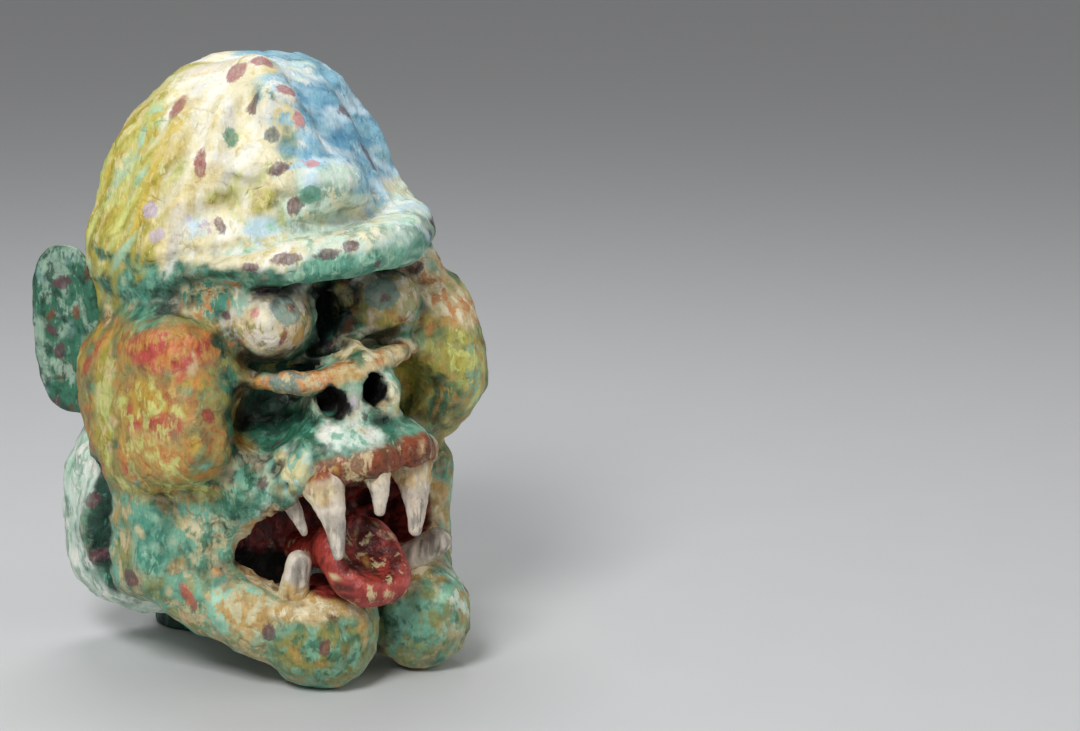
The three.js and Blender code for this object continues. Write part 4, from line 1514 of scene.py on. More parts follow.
@dataclass
class Head:
    """The shell of the head: hat, brim, face, jaw and mouth, hollow and open behind."""

    wall: float = 7.0
    lining: float = 13.0  # between the hollow and what is pressed in
    lift: float = 8.0  # of the maker's level above the floor
    crumpled: float = 12.0  # how near the surface its crumple is worked out
    step: float = 3.2
    corners: tuple[Triple, Triple] = ((-172, -212, -20), (172, 76, 476))
    # The cut behind lies at rear_y at the heights rear_z.
    rear_z: tuple[float, ...] = (-8.0, 60.0, 150.0, 215.0, 260.0, 470.0)
    rear_y: tuple[float, ...] = (64.0, 64.0, 60.0, 20.0, 2.0, 2.0)
    ring_centre: tuple[float, float] = (14.0, 52.0)
    ring_hole: tuple[float, float] = (48.0, 32.0)
    ring_top: float = 90.0
    hat_foot: tuple[float, float] = (290.0, 320.0)  # where the face gives way to the hat
    hat: dict[str, Mass] = field(default_factory=lambda: {
        "crown_left": add(16, Ball((30, 4, 334), (92, 92, 113), 2.8)),
        "blue_flat": cut(18, Plane((0.57, -0.69, 0.45), 252)),
        "crown_right": add(20, Ball((-24, -4, 319), (106, 108, 130), 2.2)),
        "shoulder_left": cut(18, Plane((0.72, -0.26, 0.645), 334)),
        "shoulder_right": cut(18, Plane((-0.58, 0.49, 0.65), 327)),
        "hat_band": add(18, Ball((-4, 0, 312), (132, 100, 46), 2.6)),
        "seam": add(20, Tube(((-26, -54, 436, 16), (-21, -82, 420, 16), (-15, -96, 395, 16),
                              (-6, -103, 368, 16)))),
        "badge_lump": add(18, Ball((2, -102, 360), (42, 28, 23))),
    })
    face: dict[str, Mass] = field(default_factory=lambda: {
        "skull": add(26, Ball((0, 4, 215), (120, 94, 150), 2.8)),
        "neck_flare": add(18, Ball((0, 24, 96), (134, 60, 80), 3.6)),
        "brow_skin": add(14, Ball((0, -70, 260), (72, 44, 38))),
        "temple": add(14, Ball((98, -72, 288), (26, 30, 30))),
        "cheek_left": add(12, Ball((108, -60, 213), (49, 80, 67), 2.6, (-28, 0, -8))),
        "cheek_right": add(12, Ball((-100, -54, 203), (44, 74, 69), 3.2, (-20, 0, 8))),
        "eye_right": add(14, Ball((-43, -95, 268), (34, 46, 31), 2.0, (0, 0, -12))),
        "eye_left": add(14, Ball((50, -94, 271), (31, 45, 30), 2.0, (0, 0, 12))),
        "muzzle": add(16, Ball((4, -98, 176), (68, 82, 27), 2.4, (-4, -3, 0))),
        "side_of_mouth_right": add(16, Ball((-58, -94, 150), (30, 36, 36))),
        "side_of_mouth_left": add(16, Ball((74, -90, 150), (28, 36, 30))),
        "nose": add(14, Ball((10, -138, 209), (33, 32, 27), 2.6, (0, -4, 0))),
        "fold_under_eyes": add(12, Tube(((-66, -112, 222, 7), (-36, -140, 225, 8),
                                         (2, -149, 230, 9), (44, -141, 237, 8),
                                         (68, -122, 239, 7), (88, -98, 250, 7),
                                         (102, -70, 276, 7)))),
    })
    brim: dict[str, Mass] = field(default_factory=lambda: {
        "brim": add(10, Tube(((-114, -12, 292, 8), (-98, -62, 300, 10), (-68, -110, 309, 12),
                              (-32, -144, 314, 14), (10, -156, 320, 16), (48, -142, 322, 18),
                              (78, -104, 322, 18), (101, -52, 322, 15), (119, 0, 319, 10)))),
        "visor": add(16, Ball((0, -56, 318), (108, 90, 13), 2.4, (-4, -6, 0))),
    })
    jaw: dict[str, Mass] = field(default_factory=lambda: {
        "lip": add(10, Tube(((-66, -92, 108, 10), (-58, -128, 140, 10), (-40, -158, 162, 12),
                             (-2, -180, 174, 12), (40, -176, 179, 12), (68, -144, 167, 10),
                             (86, -98, 140, 9), (94, -48, 110, 9)))),
        "gum": add(8, Tube(((-54, -132, 130, 6), (-47, -146, 148, 7), (-33, -170, 162, 8),
                            (-2, -187, 169, 8), (40, -183, 173, 8), (64, -155, 163, 7),
                            (80, -116, 142, 6)))),
        "jaw_right": add(20, Tube(((-104, -10, 96, 36), (-88, -66, 64, 30), (-52, -114, 40, 28)))),
        "jaw_left": add(20, Tube(((106, -20, 88, 40), (100, -76, 56, 34), (84, -116, 40, 30)))),
        "jowl_left": add(10, Slab((114, -48, 98), (28, 36, 48), 12)),
        "jowl_right": add(10, Slab((-108, -44, 98), (25, 30, 44), 14)),
        "side_of_jaw_right": add(14, Ball((-84, -60, 114), (24, 42, 34), 2.6)),
        "chin_lobe_right": add(12, Ball((-13, -134, 30), (43, 42, 40))),
        "chin_lobe_left": add(12, Ball((74, -132, 32), (41, 40, 41))),
        "chin": add(18, Ball((26, -112, 40), (74, 46, 26), 2.4)),
    })
    cuts: dict[str, Mass] = field(default_factory=lambda: {
        "chin_cleft": cut(10, Ball((29, -172, 22), (7, 32, 60))),
        "mouth": cut(10, Ball((10, -104, 106), (68, 72, 46), 2.4, (-12, 0, 0))),
        "mouth_front": cut(10, Ball((10, -158, 113), (62, 62, 49), 2.4)),
        "mouth_corner": cut(10, Ball((84, -84, 98), (30, 42, 25))),
        "nostril_right": cut(6, Ball((-19, -168, 214), (10, 27, 13.5))),
        "nostril_left": cut(6, Ball((13, -168, 221), (10, 27, 13.5))),
        "slit_between_eyes": cut(8, Ball((5, -116, 270), (11, 34, 30))),
        "hollow_by_nose_left": cut(28, Ball((60, -118, 203), (26, 30, 22))),
        "hollow_by_nose_right": cut(28, Ball((-54, -116, 192), (24, 28, 20))),
        "groove_behind_jaw_left": cut(12, Ball((140, 2, 98), (20, 11, 56))),
        "groove_behind_jaw_right": cut(12, Ball((-138, -14, 98), (18, 10, 56))),
    })
    nostrils: dict[str, Mass] = field(default_factory=lambda: {
        "nostril_depth_right": cut(2, Ball((-18, -160, 213), (9.5, 33, 13))),
        "nostril_depth_left": cut(2, Ball((13, -160, 220), (9.5, 33, 13))),
    })
    hollowed: tuple[str, ...] = (
        "crown_left", "blue_flat", "crown_right", "shoulder_left", "shoulder_right", "hat_band",
        "skull", "neck_flare", "temple", "cheek_left", "cheek_right", "muzzle", "jaw_right",
        "jaw_left", "jowl_left", "jowl_right", "side_of_jaw_right", "chin_lobe_right",
        "chin_lobe_left")

    def __post_init__(self) -> None:
        """Joins the masses, smooth and with the wrinkles, and what the hollow follows."""
        self.solid = Sculpture({**self.hat, **self.face, **self.brim, **self.jaw, **self.cuts})
        lines = touched(WRINKLES, self.solid.distance)
        normals = [unit(slopes(self.solid.distance, line, 1.0)) for line in lines]
        folds = {f"wrinkle_{i}": wrinkle.mass(line, normal)
                 for i, (wrinkle, line, normal) in enumerate(zip(WRINKLES, lines, normals))}
        self.creased = Sculpture({**self.solid.masses, **folds, **self.nostrils})
        self.hollow = self.solid.only(self.hollowed)
        self.pockets = Sculpture({n: add(m.blend, m.form) for n, m in self.cuts.items()})

    def outside(self, at: Array) -> Array:
        """Distance to the outer skin before it is cut off behind.

        Args:
            at: points, one a row.

        Returns:
            The distance of each, negative inside.
        """
        d = self.creased.distance(at)
        near = np.abs(d) < self.crumpled
        d[near] -= self.crumple(at[near])
        return d

    def crumple(self, at: Array) -> Array:
        """Height of the crumpled paper over the smooth form, calmer on the hat.

        Args:
            at: points, one a row.

        Returns:
            A height for each.
        """
        calm = 1 - 0.5 * ease_between(at[:, 2], *self.hat_foot)
        lumps = waves(at, 34.0, 11) * 1.6 + waves(at, 15.0, 12) * 1.0 * calm
        bent = at + np.stack([waves(at, 20.0, 17), waves(at, 20.0, 18), waves(at, 20.0, 19)], 1) * 4
        sharp = (creases(bent, 26.0, 13) - 0.5) * 1.5 + (creases(bent, 13.0, 15) - 0.5) * 1.1 * calm
        rim = ease_between(-np.abs(self.pockets.distance(at)), -8.0, 0.0)
        rough = 0.5 + rim * 1.2 + self.crust(at) * 1.6
        return lumps + sharp + waves(at, 7.0, 14) * rough + rim * 1.0

    def crust(self, at: Array) -> Array:
        """How crusty the paper is: most on the gum, less on the mouth's lower edge and the fold.

        Args:
            at: points, one a row.

        Returns:
            Shares from 0 to 1.
        """
        gum = ease_between(-self.jaw["gum"].form.distance(at), -6.0, 1.0)
        fold = ease_between(-self.face["fold_under_eyes"].form.distance(at), -5.0, 1.0) * 0.6
        edge = ease_between(-np.abs(self.cuts["mouth"].form.distance(at)), -10.0, -2.0)
        edge = edge * ease_between(-at[:, 2], -120.0, -90.0) * 0.6
        return np.maximum(np.maximum(gum, fold), edge)

    def inside(self, at: Array) -> Array:
        """Distance to the hollow.

        Args:
            at: points, one a row.

        Returns:
            The distance of each, negative in the hollow.
        """
        wall = press(self.solid.distance(at), self.hollow.distance(at), 8) + self.wall
        wall = press(wall, self.wall - self.lift - at[:, 2], 4)
        wall = np.maximum(wall, self.lining - self.pockets.distance(at))
        (cx, cy), (hx, hy) = self.ring_centre, self.ring_hole
        hole = np.hypot((at[:, 0] - cx) / hx, (at[:, 1] - cy) / hy) - 1
        return np.minimum(wall, np.maximum(hole * 30, at[:, 2] - self.ring_top))

    def distance(self, at: Array) -> Array:
        """Distance to the whole shell.

        Args:
            at: points, one a row.

        Returns:
            The distance of each, negative inside.
        """
        rear = at[:, 1] - np.interp(at[:, 2], self.rear_z, self.rear_y)
        shell = press(self.outside(at), -self.inside(at), 1.5)
        return press(press(shell, rear, 1.5), -self.lift - at[:, 2], 1.5)

    def build(self, bench: Bench) -> bpy.types.Object:
        """Meshes, paints and dresses the head.

        Args:
            bench: places it in the frame.

        Returns:
            The finished object.
        """
        skin = skin_of(self.distance, *self.corners, self.step)
        painter = Painter(skin, self.distance, 3)
        surface = self.creased.distance
        spots = touched(PATCHES, surface)
        patched = [patch.coat(spot[0]) for patch, spot in zip(PATCHES, spots)]
        painter.lay(self.coats() + patched + self.openings())
        painter.dab(DABS, surface)
        on_hat = ease_between(skin.points[:, 2], *self.hat_foot)
        extra = {
            "bare": np.maximum(ease_between(-self.outside(skin.points), 2.0, 4.5),
                               ease_between(-self.inside(skin.points), -1.5, -0.5)),
            "crust": self.crust(skin.points),
            # Painted shade in the folds, half as strong on the hat.
            "fold": painter.folds() * (1 - 0.5 * on_hat),
        }
        return bench.piece("painted_head", painter, extra, PaintedPaper("painted_paper").material())

    def coats(self) -> list[Coat]:
        """The large areas of paint.

        Returns:
            The coats, the lowest first.
        """
        m = {name: mass.form for name, mass in self.solid.masses.items()}
        hat_line = Plane((-0.116, 0.0, 1.0), 292)
        blue_side = Plane((0.97, 0.0, -0.22), -106)
        yellow_side = Plane((-0.85, 0.52, 0.05), 72)
        jaw = Sculpture(self.jaw).only((
            "jaw_right", "jaw_left", "jowl_left", "jowl_right", "side_of_jaw_right",
            "chin_lobe_right", "chin_lobe_left", "chin"))
        small = Brush(7, 3.5, stray=80, cover=6)
        along = Brush(12, 3.0, (1, 0.3, 0), 20, 7)
        rim = self.brim["brim"].form.points
        edge = Tube(tuple((x * 1.03, y - 6, z - 3, 0.85 * r) for x, y, z, r in rim))
        line = Tube(tuple((x * 1.03, y - 6, z + 0.9 * r, 0.4 * r) for x, y, z, r in rim))
        above = Tube(tuple((x, y + 8, z + r, r) for x, y, z, r in rim))
        gum = Tube(tuple((x, y, z + 3, 1.45 * r) for x, y, z, r in self.jaw["gum"].form.points))
        return [
            Coat((EVERYWHERE,),
                 (P.GREEN, P.TEAL, P.FOREST, P.SEA, P.SAND), (0.8, 0.6, 0.4, 0.2)),
            Coat((m["neck_flare"], Plane((0, 1, 0), -26)),
                 (P.FROST, P.SAGE, P.WHITE, P.MINT, P.LIME, P.TEAL),
                 (0.7, 0.5, 0.5, 0.3, 0.2), 6),
            Coat((m["muzzle"],), (P.GREEN, P.TEAL, P.SEA, P.FOREST, P.FROST),
                 (0.7, 0.5, 0.5, 0.3), 6, brush=small),
            Coat((m["cheek_right"],), (P.OCHRE, P.OLIVE, P.ORANGE, P.GOLD, P.RED, P.LIME),
                 (0.8, 0.6, 0.7, 0.5, 0.4), 2, 14, small),
            Coat((m["cheek_left"],), (P.OLIVE, P.CITRON, P.OCHRE, P.ORANGE, P.LIME, P.GREEN),
                 (0.8, 0.6, 0.4, 0.6, 0.4), 2, 14, small),
            Coat((m["brow_skin"],), (P.TEAL, P.SAND, P.SEA, P.ORANGE, P.PLUM),
                 (0.6, 0.5, 0.4, 0.2), 4, 10, small),
            Coat((m["temple"],), (P.SAND, P.ORANGE, P.CREAM, P.SEA, P.PLUM),
                 (0.7, 0.6, 0.5, 0.3), 6, 8, small),
            Coat((m["eye_right"],), (P.STONE, P.SAND, P.OLIVE, P.CREAM, P.SAGE, P.PINK),
                 (0.9, 0.5, 0.8, 0.5, 0.3), 2, 5, small),
            Coat((m["eye_left"],), (P.SAND, P.OLIVE, P.STONE, P.OCHRE, P.FOREST),
                 (0.8, 0.6, 0.4, 0.3), 2, 5, small),
            Coat((m["nose"],), (P.SEA, P.CREAM, P.FROST, P.GREEN, P.SAND),
                 (0.7, 0.7, 0.4, 0.4), 2, 6, small),
            Coat((m["fold_under_eyes"],), (P.SAND, P.ORANGE, P.OCHRE, P.CREAM, P.SEA),
                 (0.9, 0.6, 0.6, 0.3), 2, 5, Brush(8, 3, (1, 0, 0), 30, 8)),
            Coat((hat_line,), (P.CREAM, P.WHITE, P.BUTTER, P.LIME, P.STONE),
                 (0.4, 0.3, 0.12, 0.3), brush=Brush(16, 4, (0.3, -0.2, 0.9), 25, 6)),
            Coat((hat_line, yellow_side), (P.CITRON, P.LIME, P.BUTTER, P.MINT, P.YELLOW),
                 (0.35, 0.3, 0.25, 0.6), 0, 44, Brush(24, 4, (0.48, -0.28, 0.83), 16, 6)),
            Coat((hat_line, blue_side), (P.FROST, P.ICE, P.WHITE, P.SAGE, P.CREAM),
                 (0.4, 0.4, 0.3, 0.3), 0, 12, Brush(22, 4.5, (0.8, 0.3, -0.35), 16, 6)),
            Coat((Plane((0, 0, 1), 356), blue_side), (P.SKY, P.ICE, P.BLUE, P.PETROL),
                 (0.25, 0.3, 0.2), 0, 10, Brush(26, 4.5, (0.8, 0.3, -0.35), 16, 6)),
            Coat((m["visor"], Plane((0.1, 0.12, -1), -318)),
                 (P.GREEN, P.FOREST, P.TEAL, P.PINE), (0.8, 0.5, 0.5), 16, 5, small),
            Coat((above,), (P.CREAM, P.FROST, P.BUTTER, P.WHITE, P.MINT),
                 (0.7, 0.6, 0.5, 0.4), 0, 8, along),
            Coat((edge,), (P.TEAL, P.SEA, P.MINT, P.GREEN, P.FROST), (0.9, 0.4, 0.7, 0.3), 0, 5,
                 along),
            Coat((line,), (P.FROST, P.WHITE, P.MINT, P.CREAM), (0.8, 0.6, 0.4), 0, 4, along),
            Coat((jaw,), (P.SEA, P.OLIVE, P.SAND, P.OCHRE, P.GREEN, P.MINT, P.ORANGE),
                 (0.9, 0.8, 0.9, 0.7, 0.5, 0.4), 2, 8, small),
            Coat((m["groove_behind_jaw_left"],), (P.FOREST, P.TEAL), (0.5,), 5, 8),
            Coat((m["groove_behind_jaw_right"],), (P.FOREST, P.TEAL), (0.5,), 5, 8),
            Coat((m["chin_cleft"],), (P.FOREST, P.GREEN), (0.5,), 3, 6),
            Coat((m["lip"],), (P.SEA, P.FROST, P.TEAL, P.PETROL, P.PLUM),
                 (0.7, 0.6, 0.4, 0.1), 2, 8, small),
            Coat((gum,), (P.RUST, P.SAND, P.BROWN, P.OCHRE), (0.6, 0.8, 0.5), 1, 4,
                 Brush(6, 2.4, stray=60, cover=10)),
        ]

    def openings(self) -> list[Coat]:
        """The paint in the mouth, the nostrils and the slit, with painted shade deep in them.

        Returns:
            The coats, the lowest first.
        """
        m = {name: mass.form for name, mass in self.solid.masses.items()}
        small = Brush(6, 2.6, stray=80, cover=8)
        low = Plane((0, 0.3, -1), -150)
        bulk = Sculpture({**self.hat, **self.face, **self.brim, **self.jaw})
        mouth = Sculpture({n: add(6, m[n]) for n in ("mouth", "mouth_front", "mouth_corner")})
        deep = {n: add(1, mass.form) for n, mass in self.nostrils.items()}
        holes = Sculpture({**deep, **{n: add(1, m[n]) for n in ("nostril_left", "nostril_right")}})
        return [
            Coat((mouth, low), (P.SAND, P.OCHRE, P.CREAM, P.BROWN, P.OLIVE), (0.8, 0.7, 0.4, 0.3),
                 13, 6, small),
            # Painted shadow: black and dark red on the floor of the mouth behind the lip.
            Coat((Ball((4, -52, 62), (54, 34, 34)),), (P.BLACK, P.WINE), (0.5,), 0, 8),
            Coat((mouth, Depth(bulk, 3)), (P.BRICK, P.WINE, P.RED), (0.9, 0.4), 3, 3, small),
            # Painted shade deep in the mouth: dark red, then black deepest.
            Coat((mouth, Depth(bulk, 28)), (P.WINE, P.BLACK, P.BRICK), (0.8, 0.3), 5, 10,
                 small),
            Coat((mouth, Depth(bulk, 40)), (P.BLACK, P.WINE), (0.4,), 6, 12),
            # Painted shade: black inside the nostrils.
            Coat((holes, Depth(bulk, 3)), (P.BLACK, P.BLACK), (0.5,), 2, 1.5),
            # Dark green paint, with black as painted shade, in the slit between the eyes.
            Coat((m["slit_between_eyes"],), (P.PINE, P.BLACK), (0.5,), 1, 5),
        ]


@dataclass
class Ear:
    """A cup ear: a thick leaf of paper with a pressed-in middle and a rolled edge."""

    node: str
    centre: Triple
    side: int  # 1 on the mask's left, -1 on its right
    paints: tuple[Paint, ...]
    dabs: tuple[Dab, ...] = ()
    half: Triple = (9, 30, 66)
    squareness: float = 2.6  # power of its outline
    lean: float = 6.0  # degrees outward at the top
    turn: float = -33.0  # degrees backward
    recess_off: Triple = (9, -3, 2)  # the pressed-in middle from the ear's own
    recess_half: Triple = (8, 21, 55)
    around: Triple = (44, 44, 76)  # half the space that holds it
    step: float = 1.9

    def distance(self, at: Array) -> Array:
        """Distance to the ear.

        Args:
            at: points, one a row.

        Returns:
            The distance of each, negative inside.
        """
        turns = (0.0, self.side * self.lean, self.side * self.turn)
        turn = Matrix.Rotation(math.radians(turns[2]), 3, "Z")
        turn = turn @ Matrix.Rotation(math.radians(turns[1]), 3, "Y")
        off = turn @ Vector((self.side * self.recess_off[0], *self.recess_off[1:]))
        middle = tuple(np.array(self.centre) + np.array(off))
        leaf = Ball(self.centre, self.half, self.squareness, turns).distance(at)
        recess = Ball(middle, self.recess_half, 2.4, turns).distance(at)
        rough = waves(at, 13.0, 31) * 0.9 + waves(at, 6.0, 32) * 0.4
        return press(leaf, -recess, 5) - rough

    def build(self, bench: Bench) -> bpy.types.Object:
        """Meshes, paints and dresses the ear.

        Args:
            bench: places it in the frame.

        Returns:
            The finished object.
        """
        corners = tuple(tuple(np.add(self.centre, np.multiply(self.around, way)))
                        for way in (-1, 1))
        coat = Coat((EVERYWHERE,), self.paints, (0.7, 0.6, 0.6, 0.5, 0.25),
                    brush=Brush(7, 3.5, stray=60, cover=6))
        finish = PaintedPaper("ear_paint", shade_and_dirt=P.FOREST, wear_share=0.6)
        return bench.build(f"{self.node}_painted", self.distance, corners, self.step,
                           21 + self.side, [coat], finish.material(), self.dabs)


@dataclass
class Tongue:
    """The hanging tongue."""

    step: float = 1.7
    corners: tuple[Triple, Triple] = ((-44, -218, 40), (66, -56, 124))
    masses: dict[str, Mass] = field(default_factory=lambda: {
        "root": add(14, Ball((10, -112, 89), (31, 44, 15), 2.4, (-8, 0, 0))),
        "blade": add(14, Ball((8, -158, 90), (33, 38, 17), 2.6, (38, 0, 0))),
        "dish": cut(6, Ball((8, -168, 104), (22, 31, 12), 2.0, (38, 0, 0))),
    })

    def distance(self, at: Array) -> Array:
        """Distance to the tongue."""
        smooth = Sculpture(self.masses).distance(at)
        return smooth - waves(at, 14.0, 41) * 1.2 - waves(at, 6.0, 42) * 0.6

    def build(self, bench: Bench) -> bpy.types.Object:
        """Meshes, paints and dresses the tongue.

        Args:
            bench: places it in the frame.

        Returns:
            The finished object.
        """
        coats = [
            Coat((EVERYWHERE,), (P.BRICK, P.RED, P.SAND, P.WINE, P.PINK),
                 (0.6, 0.3, 0.5, 0.2), brush=Brush(8, 3, (0, 1, -0.4), 40, 7)),
            Coat((Ball((8, -164, 106), (23, 33, 17), 2.0, (38, 0, 0)),),
                 (P.WINE, P.BRICK, P.SAND, P.OCHRE, P.BROWN), (0.8, 0.5, 0.5, 0.6), 2, 6,
                 Brush(7, 2.5, (0, 1, -0.4), 40, 9)),
        ]
        finish = PaintedPaper("tongue_paint", shade_and_dirt=P.WINE, wear=P.PINK, wear_share=0.3,
                              roughness=0.42)
        return bench.build("tongue_painted", self.distance, self.corners, self.step, 5, coats,
                           finish.material())


@dataclass
class Tooth:
    """A tooth: a bent cone of paper, thick at its root."""

    node: str
    root: Triple
    tip: Triple
    radius: tuple[float, float]  # at its root and at its tip
    bow: float  # how far its middle bends forward
    stain: float = 1.02  # how far the gum's colours run down it, against its radius
    room: float = 8.0  # between its radius and the edge of its space
    step: float = 1.3

    def line(self) -> Tube:
        """The tooth's bent middle line with its thickness.

        Returns:
            A roll that thins towards the tip.
        """
        a, b = np.array(self.root, float), np.array(self.tip, float)
        up = unit(b - a)
        front = unit(np.array([0.0, -1.0, 0.0]) + up * up[1])
        points = []
        for t in np.linspace(0, 1, 7):
            thick = self.radius[0] + (self.radius[1] - self.radius[0]) * t ** 0.65
            middle = a + (b - a - up * self.radius[1]) * t + front * self.bow * 4 * t * (1 - t)
            points.append((*middle, thick))
        return Tube(tuple(points))

    def distance(self, at: Array) -> Array:
        """Distance to the tooth."""
        rough = waves(at, 9.0, 51) * 0.7 + waves(at * (1, 1, 0.4), 3.5, 52) * 0.3
        return self.line().distance(at) - rough

    def build(self, bench: Bench, material: bpy.types.Material) -> bpy.types.Object:
        """Meshes, paints and dresses the tooth.

        Args:
            bench: places it in the frame.
            material: the teeth's common finish.

        Returns:
            The finished object.
        """
        ends = np.array([self.root, self.tip], float)
        thick = self.radius[0]
        room = thick + self.room
        behind = tuple(self.root + unit(ends[0] - ends[1]) * thick)
        streaks = Brush(12, 1.6, stray=10, cover=20)
        coats = [
            Coat((EVERYWHERE,), (P.BONE, P.STONE, P.ASH, P.SOOT), (0.6, 0.45, 0.2),
                 brush=streaks),
            Coat((Ball(self.tip, (thick * 2.1,) * 3),), (P.STONE, P.ASH, P.BONE, P.SOOT),
                 (0.7, 0.6, 0.35), 0, 14, streaks),
            Coat((Ball(self.root, (thick * self.stain,) * 3),),
                 (P.SAND, P.OCHRE, P.CREAM, P.RUST, P.PINK), (0.7, 0.6, 0.4, 0.3), 0, 6,
                 Brush(5, 2, cover=12)),
            Coat((Ball(behind, (thick * 1.15,) * 3),), (P.RUST, P.OCHRE, P.BROWN, P.SAND),
                 (0.9, 0.7, 0.4), 0, 7, Brush(6, 1.8, stray=20, cover=14)),
        ]
        corners = tuple(ends.min(0) - room), tuple(ends.max(0) + room)
        return bench.build(f"{self.node}_painted", self.distance, corners, self.step,
                           int(abs(self.root[0])) + 60, coats, material)


@dataclass
class NeckRing:
    """The closed ring under the jaw."""

    centre: tuple[float, float] = (14.0, 52.0)
    half: tuple[float, float] = (62.0, 46.0)
    wall: float = 14.0
    low: float = -8.0
    high: float = 46.0
    gap: float = 0.4  # how far it stays off the head
    step: float = 2.4
    corners: tuple[Triple, Triple] = ((-56, -2, -14), (84, 106, 52))

    def distance(self, at: Array) -> Array:
        """Distance to the ring.

        Args:
            at: points, one a row.

        Returns:
            The distance of each, negative inside.
        """
        x, y = at[:, 0] - self.centre[0], at[:, 1] - self.centre[1]

        def oval(hx: float, hy: float) -> Array:
            """Distance to a wall of oval plan.

            Args:
                hx: half its size along X.
                hy: half its size along Y.

            Returns:
                The distance of each point, negative inside.
            """
            level = np.hypot(x / hx, y / hy)
            slope = np.hypot(x / hx ** 2, y / hy ** 2) / np.maximum(level, 1e-6)
            return (level - 1) / np.maximum(slope, 1e-4)

        hx, hy = self.half
        wall = press(oval(hx, hy), -oval(hx - self.wall, hy - self.wall), 3)
        wall = press(wall, np.maximum(self.low - at[:, 2], at[:, 2] - self.high), 3)
        return wall - waves(at, 12.0, 61) * 0.6

    def build(self, bench: Bench, head: Head) -> bpy.types.Object:
        """Meshes, paints and dresses the ring, cut where the head stands on it.

        Args:
            bench: places it in the frame.
            head: the head that stands on it.

        Returns:
            The finished object.
        """

        def clear(at: Array) -> Array:
            """The ring without what the head takes up."""
            return np.maximum(self.distance(at), self.gap - head.distance(at))

        coat = Coat((EVERYWHERE,), (P.FOREST, P.PINE, P.GREEN), (0.7, 0.3))
        finish = PaintedPaper("ring_paint", wear_share=0.1)
        return bench.build("neck_ring_painted", clear, self.corners, self.step, 7, [coat],
                           finish.material())


TEETH = (
    Tooth("fang_right_small", (-48, -138, 146), (-34, -146, 112), (10, 3), 2),
    Tooth("fang_right_big", (-33, -170, 153), (-30, -187, 103), (16, 4.5), 4),
    Tooth("fang_middle", (3, -184, 161), (3, -189, 132), (11, 4), 2),
    Tooth("fang_left_big", (42, -170, 157), (38, -182, 110), (16, 5), 4),
    Tooth("fang_left_small", (68, -140, 154), (60, -147, 126), (12, 3.5), 2),
    Tooth("tooth_low_right", (-37, -130, 52), (-35, -141, 99), (13, 9.5), 0, 2.1),
    Tooth("tooth_low_left", (62, -126, 72), (88, -152, 98), (12.5, 10.5), 0),
)


@dataclass(frozen=True)
class Lamp:
    """A square area light: its name, place in metres, side and power in watts."""

    name: str
    place: Triple
    size: float
    power: float


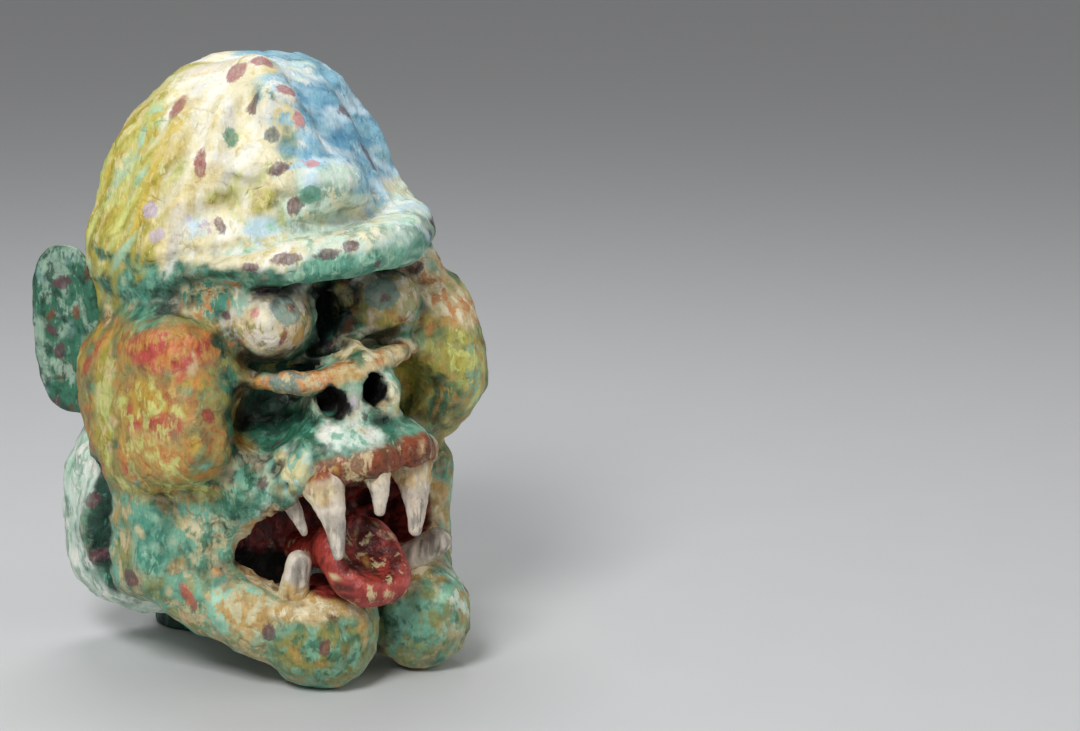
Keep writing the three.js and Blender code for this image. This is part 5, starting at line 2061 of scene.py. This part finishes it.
@dataclass
class Stage:
    """Floor, light and camera."""

    floor_half: float = 6.0
    sensor: float = 36.0
    frame_size: tuple[int, int] = (1080, 731)
    aim: Triple = (0.0, 0.0, 0.24)  # what the lamps face
    sky: Quad = (0.92, 0.92, 0.92, 1.0)
    sky_strength: float = 0.26
    lamps: tuple[Lamp, ...] = (
        Lamp("key", (-1.5, -1.2, 1.9), 0.8, 50.0),
        Lamp("side", (1.9, -1.2, 0.8), 1.2, 9.0),
        Lamp("top", (0.3, 0.7, 1.9), 1.0, 12.0),
    )

    def build(self, bench: Bench, view: PhotoView) -> None:
        """Sets the stage.

        Args:
            bench: places the camera in the frame.
            view: the photograph's view that the camera takes.
        """
        self.floor()
        self.lights()
        self.camera(bench, view)

    def floor(self) -> None:
        """A plain pale floor."""
        mesh = bpy.data.meshes.new("floor")
        h = self.floor_half
        mesh.from_pydata([(-h, -h, 0), (h, -h, 0), (h, h, 0), (-h, h, 0)], [], [(0, 1, 2, 3)])
        s = Shader("floor_paint")
        shade = s.noise(60.0, 2.0)
        colour = s.mix(shade * 0.12, (0.62, 0.63, 0.64, 1), (0.7, 0.7, 0.7, 1))
        normal = s.node("ShaderNodeBump", None, {"Strength": 0.02, "Distance": 0.001,
                                                 "Height": shade}, "Normal")
        s.finish(colour, s.step(shade, 0.0, 1.0) * 0.1 + 0.55, normal)
        mesh.materials.append(s.material)
        made = bpy.data.objects.new("floor", mesh)
        bpy.context.scene.collection.objects.link(made)

    def lights(self) -> None:
        """Soft studio light from the lamps and from all round."""
        world = bpy.data.worlds.new("studio")
        world.use_nodes = True
        sockets = world.node_tree.nodes["Background"].inputs
        sockets["Color"].default_value = self.sky
        sockets["Strength"].default_value = self.sky_strength
        bpy.context.scene.world = world
        for lamp in self.lamps:
            light = bpy.data.lights.new(lamp.name, "AREA")
            light.size = lamp.size
            light.energy = lamp.power
            made = bpy.data.objects.new(lamp.name, light)
            made.location = lamp.place
            ahead = Vector(self.aim) - Vector(lamp.place)
            made.rotation_euler = ahead.to_track_quat("-Z", "Y").to_euler()
            bpy.context.scene.collection.objects.link(made)

    def camera(self, bench: Bench, view: PhotoView) -> None:
        """A long lens at the photograph's angle, shifted so that the mask lies where it does.

        Args:
            bench: places the camera in the frame.
            view: the photograph's view that it takes.
        """
        back = view.axes()[0]
        wide, high = self.frame_size
        data = bpy.data.cameras.new("camera")
        # The view's pixel is as far off the frame's middle as the lens is shifted.
        data.shift_x = (wide / 2 - view.pixel[0]) / wide
        data.shift_y = (view.pixel[1] - high / 2) / wide
        data.sensor_width = self.sensor
        data.lens = view.focal / wide * self.sensor
        made = bpy.data.objects.new("camera", data)
        made.location = Vector(bench.metres(view.eye()))
        made.rotation_euler = Vector(-back).to_track_quat("-Z", "Y").to_euler()
        bpy.context.scene.collection.objects.link(made)
        bpy.context.scene.camera = made
        bpy.context.scene.view_settings.view_transform = "Standard"


def place(piece: bpy.types.Object, node: str, slot: str) -> None:
    """Sets a piece in the frame.

    Args:
        piece: the finished object.
        node: the node that it stands for.
        slot: not used.
    """
    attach(piece, "root")
    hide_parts(node)
    LOG.info("%s stands for %s", piece.name, node)


def main() -> None:
    """Builds the mask piece by piece and sets the stage."""
    logging.basicConfig(level=logging.INFO, format="%(message)s")
    head = Head()
    bench = Bench(head.ring_centre, head.lift)
    place(head.build(bench), "head", "painted_head")
    pale = (P.SAGE, P.FROST, P.GREEN, P.PETROL, P.FOREST, P.PLUM)
    # The right ear's darker paints are painted shade, as it lies in shadow.
    dark = (P.GREEN, P.SAGE, P.FOREST, P.PETROL, P.BROWN, P.PLUM)
    left_dabs = (Dab(RIGHT_VIEW, (965, 304), (7, 4.5), 0, P.PLUM),
                 Dab(RIGHT_VIEW, (986, 386), (7, 4.5), 10, P.PLUM))
    right_dabs = (Dab(LEFT_VIEW, (62, 282), (9, 5), 60, P.PLUM),
                  Dab(LEFT_VIEW, (60, 352), (7, 5), 0, P.PLUM),
                  Dab(LEFT_VIEW, (76, 312), (6, 4), 20, P.BROWN))
    for ear in (Ear("ear_left", (135, 20, 250), 1, pale, left_dabs),
                Ear("ear_right", (-139, 26, 246), -1, dark, right_dabs)):
        place(ear.build(bench), ear.node, "ear_paint")
    place(NeckRing().build(bench, head), "collar", "collar_paint")
    place(Tongue().build(bench), "tongue", "tongue_paint")
    ivory = PaintedPaper("tooth_paint", fold_shade_share=0.5, roughness=0.6, blots=(14.0, 9.0),
                         blot_stretch=4.0).material()
    for tooth in TEETH:
        place(tooth.build(bench, ivory), tooth.node, "tooth_paint")
    Stage().build(bench, LEFT_VIEW)


if __name__ == "__main__":
    main()
